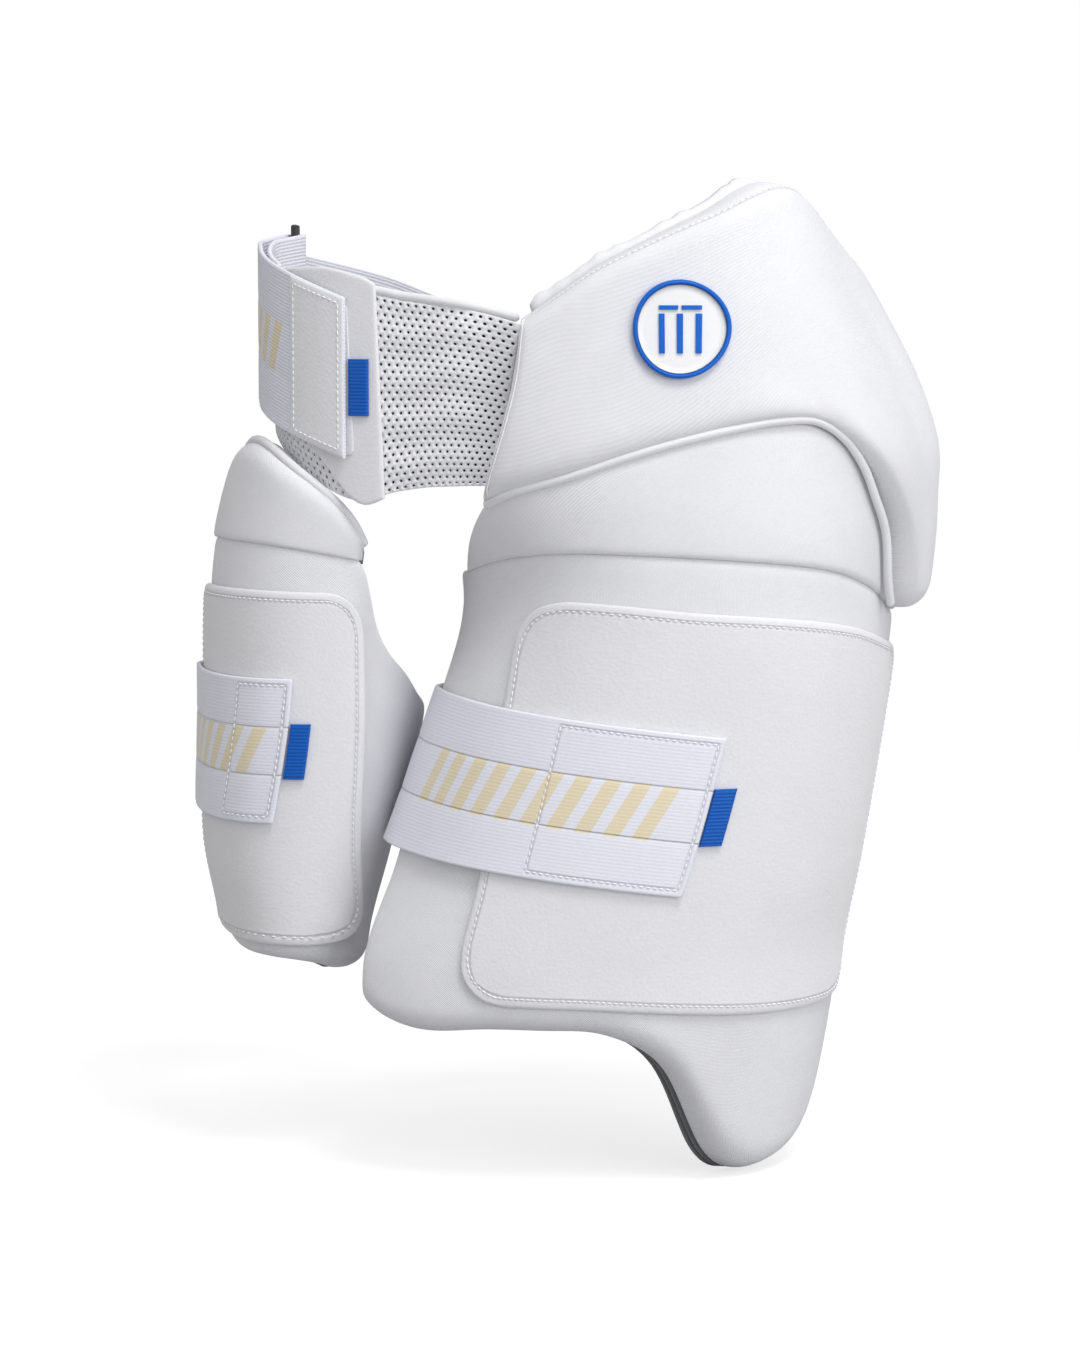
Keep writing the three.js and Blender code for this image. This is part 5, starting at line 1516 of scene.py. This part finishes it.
class THIGHGUARD_OT_inner(ThighGuardOperator, bpy.types.Operator):
    """Sew the inner roll, its piping, the inner pad, its lining and its patch"""

    bl_idname = "thighguard.inner"
    bl_label = "Inner Pad"

    def make(self, details):
        grid = details.grid_size / MM
        rows = [{**c, "high": c["high"] + 2.2} for c in inner_roll_columns]
        edges, runs = (3, 3, 12.4, 8.4), (6, 8, 3, 8)
        thick = constant(INNER_ROLL_THICK)
        roll = Panel(INNER_LEG_HOLLOW, rows, constant(GAP), thick, edges, runs, inner_relief)
        padding("inner_roll_cover", roll, grid, "inner_roll")
        # A dark lining layer beside the inner roll: its dark grey is painted shade.
        layer = Panel(INNER_LEG_HOLLOW, ROLL_LINING_COLUMNS, constant(GAP), constant(4), 3, (1, 2, 1, 1))
        piece = cloth("inner_roll_lining", *layer.build(3), material("lining"), "lining", levels=0)
        declare_sheet(layer)
        route = [
            INNER_LEG_HOLLOW.point(c["angle"], c["high"] + SEAM_LIFT, INNER_ROLL_THICK * 0.55)
            for c in inner_roll_columns
        ]
        route = spline(route, 120)
        tube("inner_piping_cord", route, PIPING_RADIUS, material("piping"), "piping", "inner_piping")
        rows = [{**c, "high": c["high"] + TUCK} for c in inner_pad_columns]
        edges, runs = (3, 3, 3, 10), (6, 8, 9, 5)
        pad = Panel(INNER_LEG_HOLLOW, rows, constant(GAP), constant(INNER_THICK), edges, runs, inner_relief)
        padding("inner_pad_cover", pad, grid, "inner_pad")
        # The inner pad's lining: its dark grey is painted shade.
        base, thick = constant(-INNER_LINING), constant(INNER_LINING - 3 * GAP)
        layer = Panel(INNER_LEG_HOLLOW, inner_pad_columns, base, thick, 1, (3, 3, 3, 3))
        piece = cloth("inner_lining", *layer.build(grid), material("lining"), "lining", "inner_pad_lining")
        declare_sheet(layer)
        patch = patch_panel(
            INNER_LEG_HOLLOW, INNER_PATCH_COLUMNS, INNER_PATCH_LENGTH, INNER_PATCH_LEVEL, INNER_TOP
        )
        sew_patch("inner", patch, INNER_PATCH_CORNER, details.stitch_pitch / MM)


def sewn_end(band, grids, seam):
    """How far flat places on a strap are from the box of stitches at its end."""
    half = band.width / 2 - STRAP_SEAM
    return from_box(grids[2], (band.length - seam, -half), (band.length - STRAP_SEAM, half), SHARP)


def box_of_stitches(band, start, end, half, pitch, lift=0.1):
    """Four rows of stitches round a box on a strap, from start to end before the strap's own end."""
    low, high = band.length - start, band.length - end
    corners = [(low, -half), (high, -half), (high, half), (low, half)]
    sides = zip(corners, corners[1:] + corners[:1])
    return [row_on(band, even(np.linspace(a, b, 40), pitch), lift) for a, b in sides]


def tab(name, hollow, angle, level, base, node):
    """A woven tab beyond a strap's end, folded over."""
    stride = hollow.stride(angle, level, base)
    borders = {"lean": 0, "low": level - LABEL_HEIGHT / 2, "high": level + LABEL_HEIGHT / 2}
    reaches = (2 * GAP, LABEL_LENGTH / 2, LABEL_LENGTH)
    rows = [{"angle": angle + reach / stride, **borders} for reach in reaches]
    panel = Panel(hollow, rows, constant(base), constant(LABEL_THICK * 1.6), 0.6, (0.5, 1.4, 0.7, 0.7))
    piece = cloth(name, *panel.build(2), material("label"), "label_blue", node)


class THIGHGUARD_OT_straps(ThighGuardOperator, bpy.types.Operator):
    """Weave the straps round both thighs, sew their ends and lay their tabs"""

    bl_idname = "thighguard.straps"
    bl_label = "Thigh Straps"

    def make(self, details):
        pitch = details.stitch_pitch / MM
        thigh, inner = thigh_strap_band(), inner_strap_band()
        printed(material("print"), thigh.length - 150, thigh.length - 26, 12.5)
        printed(material("inner print"), inner.length - 120, inner.length - 20, 11)
        for part, band, end, finish in (
            ("thigh", thigh, THIGH_END, "print"),
            ("inner", inner, INNER_END, "inner print"),
        ):
            grids = band.build()
            seam = sewn_end(band, grids, end)
            name, node = f"{part}_strap_webbing", f"{part}_strap"
            piece = cloth(name, *grids, material(finish), "elastic", node, seam=seam)
            declare_sheet(band)
            rows = box_of_stitches(band, end, STRAP_SEAM, band.width / 2 - STRAP_SEAM, pitch)
            stitches(f"{part}_strap_stitches", rows, material("thread"), "piping")
        end = STRAP_FRONT[-1]["angle"]
        level = float(strap_station(end, PATCH_TOP)(0)[2])
        tab("thigh_tab", LEG, end, level, PATCH_TOP + GAP, "thigh_label")
        end = INNER_STRAP_FRONT[-1]["angle"]
        level, base = -INNER_STRAP_LEVEL, INNER_PATCH_TOP + GAP
        tab("inner_tab", INNER_LEG_HOLLOW, end, level, base, "inner_label")


class THIGHGUARD_OT_belt(ThighGuardOperator, bpy.types.Operator):
    """Make the waist belt: perforated panel, binding, patch, strap, ring and back elastic"""

    bl_idname = "thighguard.belt"
    bl_label = "Waist Belt"

    def make(self, details):
        self.panel(details)
        self.binding(details)
        self.patch(details)
        self.straps(details)
        self.ring()

    def panel(self, details):
        """The knit panel with a real hole at the middle of each cell, in staggered rows."""

        def base(angle, z):
            angle, z = np.asarray(angle), np.asarray(z)
            creases = np.sin(z / 3.1 + 0.8 * np.sin(angle / 4.0)) + 0.5 * np.sin(z / 5.3 - angle / 3.0)
            shown = smooth(-54, -44, angle) * smooth(-18, -30, angle)
            return MESH_RISE * smooth(MESH_LOW, MESH_HIGH, angle) + 0.5 * creases * shown

        columns = [{**c, "high": c["high"] - BINDING_HEIGHT - 1.5 * GAP} for c in mesh_columns]
        panel = Panel(WAIST, columns, base, constant(MESH_THICK), MESH_THICK, (1, 1, 1, 1))
        pitch, radius = details.hole_pitch / MM, details.hole_size / MM / 2
        across = round(panel.width / pitch)
        up = round(panel.height / (pitch * 0.87))
        step_x, step_y = panel.width / across, panel.height / up
        points, faces, index = [], [], {}

        def corner(x, y):
            key = (round(x * 1000), round(y * 1000))
            if key not in index:
                index[key] = len(points)
                points.append((x, y))
            return index[key]

        for row in range(up):
            low, high = row * step_y, (row + 1) * step_y
            shift = 0.5 * (row % 2)
            for k in range(across + (1 if shift else 0)):
                left = max((k - shift) * step_x, 0)
                right = min((k + 1 - shift) * step_x, panel.width)
                middle = (left + right) / 2
                if right - left < step_x * 0.9:
                    sides = ((left, low), (right, low), (right, high), (left, high))
                    faces.append([corner(*p) for p in sides])
                    continue
                ring = [
                    (left, low), (middle, low), (right, low), (right, (low + high) / 2),
                    (right, high), (middle, high), (left, high), (left, (low + high) / 2),
                ]
                hole = []
                for a in (225, 270, 315, 0, 45, 90, 135, 180):
                    a = math.radians(a)
                    hole.append((middle + radius * math.cos(a), (low + high) / 2 + radius * math.sin(a)))
                outer = [corner(*p) for p in ring]
                inner = [corner(*p) for p in hole]
                for n in range(8):
                    m = (n + 1) % 8
                    faces.append([outer[n], outer[m], inner[m], inner[n]])
        flat = np.array(points)
        outside = panel.place(flat[:, 0], flat[:, 1])
        obj = mesh_object("belt_panel", outside, faces, flat)
        thick = obj.modifiers.new("Thickness", "SOLIDIFY")
        thick.thickness, thick.offset = MESH_THICK * MM * 0.75, -1
        apply_modifiers(obj)
        piece = finish_piece(obj, material("mesh"), "mesh", "belt_mesh")
        self.inner_layer(columns, base)
        declare_sheet(panel)

    def inner_layer(self, columns, base):
        """A near-black sheet behind the holes: painted shade, standing for the shade seen through them."""
        rows = [{**c, "low": c["low"] + 1.2, "high": c["high"] - 0.6} for c in columns]

        def behind(angle, z):
            return base(angle, z) - 0.9

        layer = Panel(WAIST, rows, behind, constant(0.7), 0.5, (1, 1, 1, 1))
        # Painted shade: this dark layer shows through the holes as their shade.
        piece = cloth("belt_inner_layer", *layer.build(4), material("spacer"), "mesh", levels=0)
        declare_sheet(layer)

    def binding(self, details):
        """The tape folded over the panel's top edge."""
        angles = np.linspace(-60, -12.5, 90)
        path = []
        for angle in angles:
            z = float(along(mesh_top, "angle", "high", angle)) - BINDING_HEIGHT / 2
            off = MESH_RISE * float(smooth(MESH_LOW, MESH_HIGH, angle)) + MESH_THICK / 2
            path.append(WAIST.point(angle, z, off))
        half, finish = BINDING_HEIGHT / 2, material("piping")
        tube("belt_binding_tape", path, half, finish, "piping", "belt_binding", flatten=0.72)

    def patch(self, details):
        columns = scaled(BELT_PATCH_COLUMNS, BELT_DROP, BELT_RISE)
        base, thick = constant(BELT_PATCH_BASE), constant(PATCH_THICK)
        patch = Panel(WAIST, columns, base, thick, 0.9, (2, 2, 2, 2))
        piece = cloth("belt_loop_patch", *patch.build(4), material("loop"), "loop_fabric", "belt_patch")
        declare_sheet(patch)

    def straps(self, details):
        strap = waist_strap_band()
        printed(material("waist print"), strap.length - 150, strap.length - 48, 12)
        grids, finish = strap.build(), material("waist print")
        piece = cloth("waist_strap_webbing", *grids, finish, "elastic", "waist_strap")
        declare_sheet(strap)
        self.end_patch(strap, details)
        elastic = back_elastic_band()
        grids, finish = elastic.build(), material("elastic")
        piece = cloth("back_elastic_webbing", *grids, finish, "elastic", "back_elastic")
        declare_sheet(elastic)
        end = OUTER_LEG[-1]["angle"]
        tab("waist_tab", WAIST, end, 0, BELT_PATCH_TOP + GAP, "waist_label")

    def end_patch(self, strap, details):
        """The brushed panel sewn over the strap's end, and the hook layer under it."""
        x = np.array([0, 0.3, 1, 3, 8, 14, 20, 26, 31, 33, 33.7, 34]) + strap.length - END_PATCH_LENGTH
        above = [0.2, 0.4, 0.6, 0.8, 0.93, 0.985, 1]
        y = np.array([-share for share in reversed(above)] + [0] + above) * END_PATCH_HALF
        x, y = np.meshgrid(x, y, indexing="ij")
        rim = np.minimum.reduce([x - x.min(), x.max() - x, y.max() - np.abs(y)])
        lift = 0.3 + 0.7 * np.sqrt(np.clip(rim / 1.2, 0, 1))
        grids = strap.place(x, y, lift[..., None]), strap.place(x, y, 0.05), np.stack([x, y], axis=-1)
        piece = cloth("waist_end_patch", *grids, material("loop"), "loop_fabric")
        half, pitch = END_PATCH_HALF - STRAP_SEAM, details.stitch_pitch / MM
        rows = box_of_stitches(strap, END_PATCH_LENGTH - 3, 3, half, pitch, 1.0)
        stitches("waist_strap_stitches", rows, material("thread"), "piping")
        end = OUTER_LEG[-1]["angle"]
        stride = WAIST.stride(end, 0, BELT_PATCH_TOP)
        borders = {"lean": -1.5, "low": waist_level(end) - 35, "high": waist_level(end) + 34}
        rows = [{"angle": end + reach / stride, **borders} for reach in (-12, -6, 0.4, 3)]
        layer = Panel(WAIST, rows, constant(BELT_PATCH_TOP + 0.1), constant(0.7), 0.4, (1, 1, 1, 1))
        piece = cloth("waist_hook_layer", *layer.build(4, 3), material("loop"), "loop_fabric")
        declare_sheet(layer)

    def ring(self):
        """A moulded frame: a block whose middle is inset and bridged into a slot, with rounded edges."""
        width, tall = SLOT_WIDTH + 2 * RING_BAR, WAIST_STRAP_WIDTH + 2 * RING_BAR + 4 * GAP
        deselect()
        bpy.ops.mesh.primitive_cube_add(size=1)
        ring = bpy.context.object
        ring.name = "waist_ring_frame"
        bpy.ops.object.mode_set(mode="EDIT")
        bpy.ops.mesh.select_all(action="SELECT")
        bpy.ops.transform.resize(value=(width, tall, RING_THICK), center_override=(0, 0, 0))
        bpy.ops.mesh.select_all(action="DESELECT")
        bpy.ops.mesh.select_mode(type="FACE")
        bpy.ops.object.mode_set(mode="OBJECT")
        for face in ring.data.polygons:
            face.select = abs(face.normal.z) > 0.9
        bpy.ops.object.mode_set(mode="EDIT")
        bpy.ops.mesh.inset(thickness=RING_BAR, use_individual=True)
        bpy.ops.mesh.bridge_edge_loops()
        bpy.ops.object.mode_set(mode="OBJECT")
        bevel = ring.modifiers.new("Round", "BEVEL")
        bevel.width, bevel.segments, bevel.limit_method = 1.1, 4, "ANGLE"
        apply_modifiers(ring)
        turn = np.stack([ring_ahead, [0, 0, 1.0], ring_out], axis=1)
        flat = np.array([v.co[:] for v in ring.data.vertices])
        ring.data.vertices.foreach_set("co", ((flat @ turn.T + ring_centre) * MM).ravel())
        ring.data.update()
        recalculate(ring)
        finish_piece(ring, material("ring"), "ring_plastic", "waist_ring")


class THIGHGUARD_OT_stage(ThighGuardOperator, bpy.types.Operator):
    """Light the guard on a plain pale floor"""

    bl_idname = "thighguard.stage"
    bl_label = "Stage"

    def make(self, details):
        self.backdrop()
        world = bpy.data.worlds.new("Studio")
        world.use_nodes = True
        world.node_tree.nodes["Background"].inputs["Color"].default_value = (1, 1, 1, 1)
        world.node_tree.nodes["Background"].inputs["Strength"].default_value = 0.69
        bpy.context.scene.world = world
        for name, place, size, energy in (
            ("Key", (0.7, -1.35, 2.3), 1.1, 34),
            ("Side", (1.7, -1.9, 0.5), 1.4, 19),
        ):
            data = bpy.data.lights.new(name, "AREA")
            data.shape, data.size, data.energy = "DISK", size, energy
            light = bpy.data.objects.new(name, data)
            bpy.context.scene.collection.objects.link(light)
            light.location = place
            aim = Vector((0, 0, -0.12)) - Vector(place)
            light.rotation_euler = aim.to_track_quat("-Z", "Y").to_euler()
        bpy.context.scene.view_settings.view_transform = "Standard"

    def backdrop(self):
        """A sheet of white paper that runs back from the floor and curves up into a wall."""
        deselect()
        bpy.ops.mesh.primitive_plane_add(size=1)
        paper = bpy.context.object
        paper.name = "stage_paper"
        bpy.ops.object.mode_set(mode="EDIT")
        bpy.ops.mesh.select_all(action="SELECT")
        bpy.ops.transform.resize(value=(16, 12, 1), center_override=(0, 0, 0))
        bpy.ops.transform.translate(value=(0, -1, FLOOR_LEVEL * MM))
        bpy.ops.mesh.select_all(action="DESELECT")
        bpy.ops.object.mode_set(mode="OBJECT")
        rear = max(v.co.y for v in paper.data.vertices)
        for edge in paper.data.edges:
            edge.select = all(paper.data.vertices[i].co.y > rear - 0.01 for i in edge.vertices)
        bpy.ops.object.mode_set(mode="EDIT")
        bpy.ops.mesh.select_mode(type="EDGE")
        bpy.ops.mesh.extrude_region_move(TRANSFORM_OT_translate={"value": (0, 0, 7)})
        bpy.ops.object.mode_set(mode="OBJECT")
        curve = paper.modifiers.new("Curve", "BEVEL")
        curve.width, curve.segments, curve.limit_method = 3.0, 16, "ANGLE"
        apply_modifiers(paper)
        paper.data.polygons.foreach_set("use_smooth", [True] * len(paper.data.polygons))
        finish, shader = new_material("Stage Paper", (0.42, 0.42, 0.42), 0.95)
        shader.inputs["Emission Color"].default_value = (1, 1, 1, 1)
        tree = finish.node_tree
        seen = tree.nodes.new("ShaderNodeLightPath").outputs["Is Camera Ray"]
        tree.links.new(math_node(tree, "MULTIPLY", seen, 0.7), shader.inputs["Emission Strength"])
        grain = noise_node(tree, tree.nodes.new("ShaderNodeTexCoord").outputs["Object"], 40, 2)
        tree.links.new(math_node(tree, "MULTIPLY_ADD", grain, 0.1, 0.88), shader.inputs["Roughness"])
        paper.data.materials.append(finish)


class THIGHGUARD_PT_sidebar(bpy.types.Panel):
    """Lists the guard's pieces"""

    bl_label = "Thigh Guard"
    bl_idname = "THIGHGUARD_PT_sidebar"
    bl_space_type = "VIEW_3D"
    bl_region_type = "UI"
    bl_category = "Thigh Guard"

    def draw(self, context):
        layout = self.layout
        for settings in (context.scene.thigh_guard_look, context.scene.thigh_guard_details):
            for name in settings.__annotations__:
                layout.prop(settings, name)
        for operator in OPERATORS:
            layout.operator(operator.bl_idname)


OPERATORS = (
    THIGHGUARD_OT_camera,
    THIGHGUARD_OT_hip,
    THIGHGUARD_OT_badge,
    THIGHGUARD_OT_thigh,
    THIGHGUARD_OT_inner,
    THIGHGUARD_OT_belt,
    THIGHGUARD_OT_straps,
    THIGHGUARD_OT_stage,
)
CLASSES = (LookSettings, DetailSettings, *OPERATORS, THIGHGUARD_PT_sidebar)


def register():
    for cls in CLASSES:
        bpy.utils.register_class(cls)
    bpy.types.Scene.thigh_guard_look = bpy.props.PointerProperty(type=LookSettings)
    bpy.types.Scene.thigh_guard_details = bpy.props.PointerProperty(type=DetailSettings)


def unregister():
    del bpy.types.Scene.thigh_guard_details
    del bpy.types.Scene.thigh_guard_look
    for cls in reversed(CLASSES):
        bpy.utils.unregister_class(cls)


def main():
    register()
    bpy.ops.thighguard.camera()
    bpy.ops.thighguard.hip()
    bpy.ops.thighguard.badge()
    bpy.ops.thighguard.thigh()
    bpy.ops.thighguard.inner()
    bpy.ops.thighguard.belt()
    bpy.ops.thighguard.straps()
    bpy.ops.thighguard.stage()


if __name__ == "__main__":
    main()
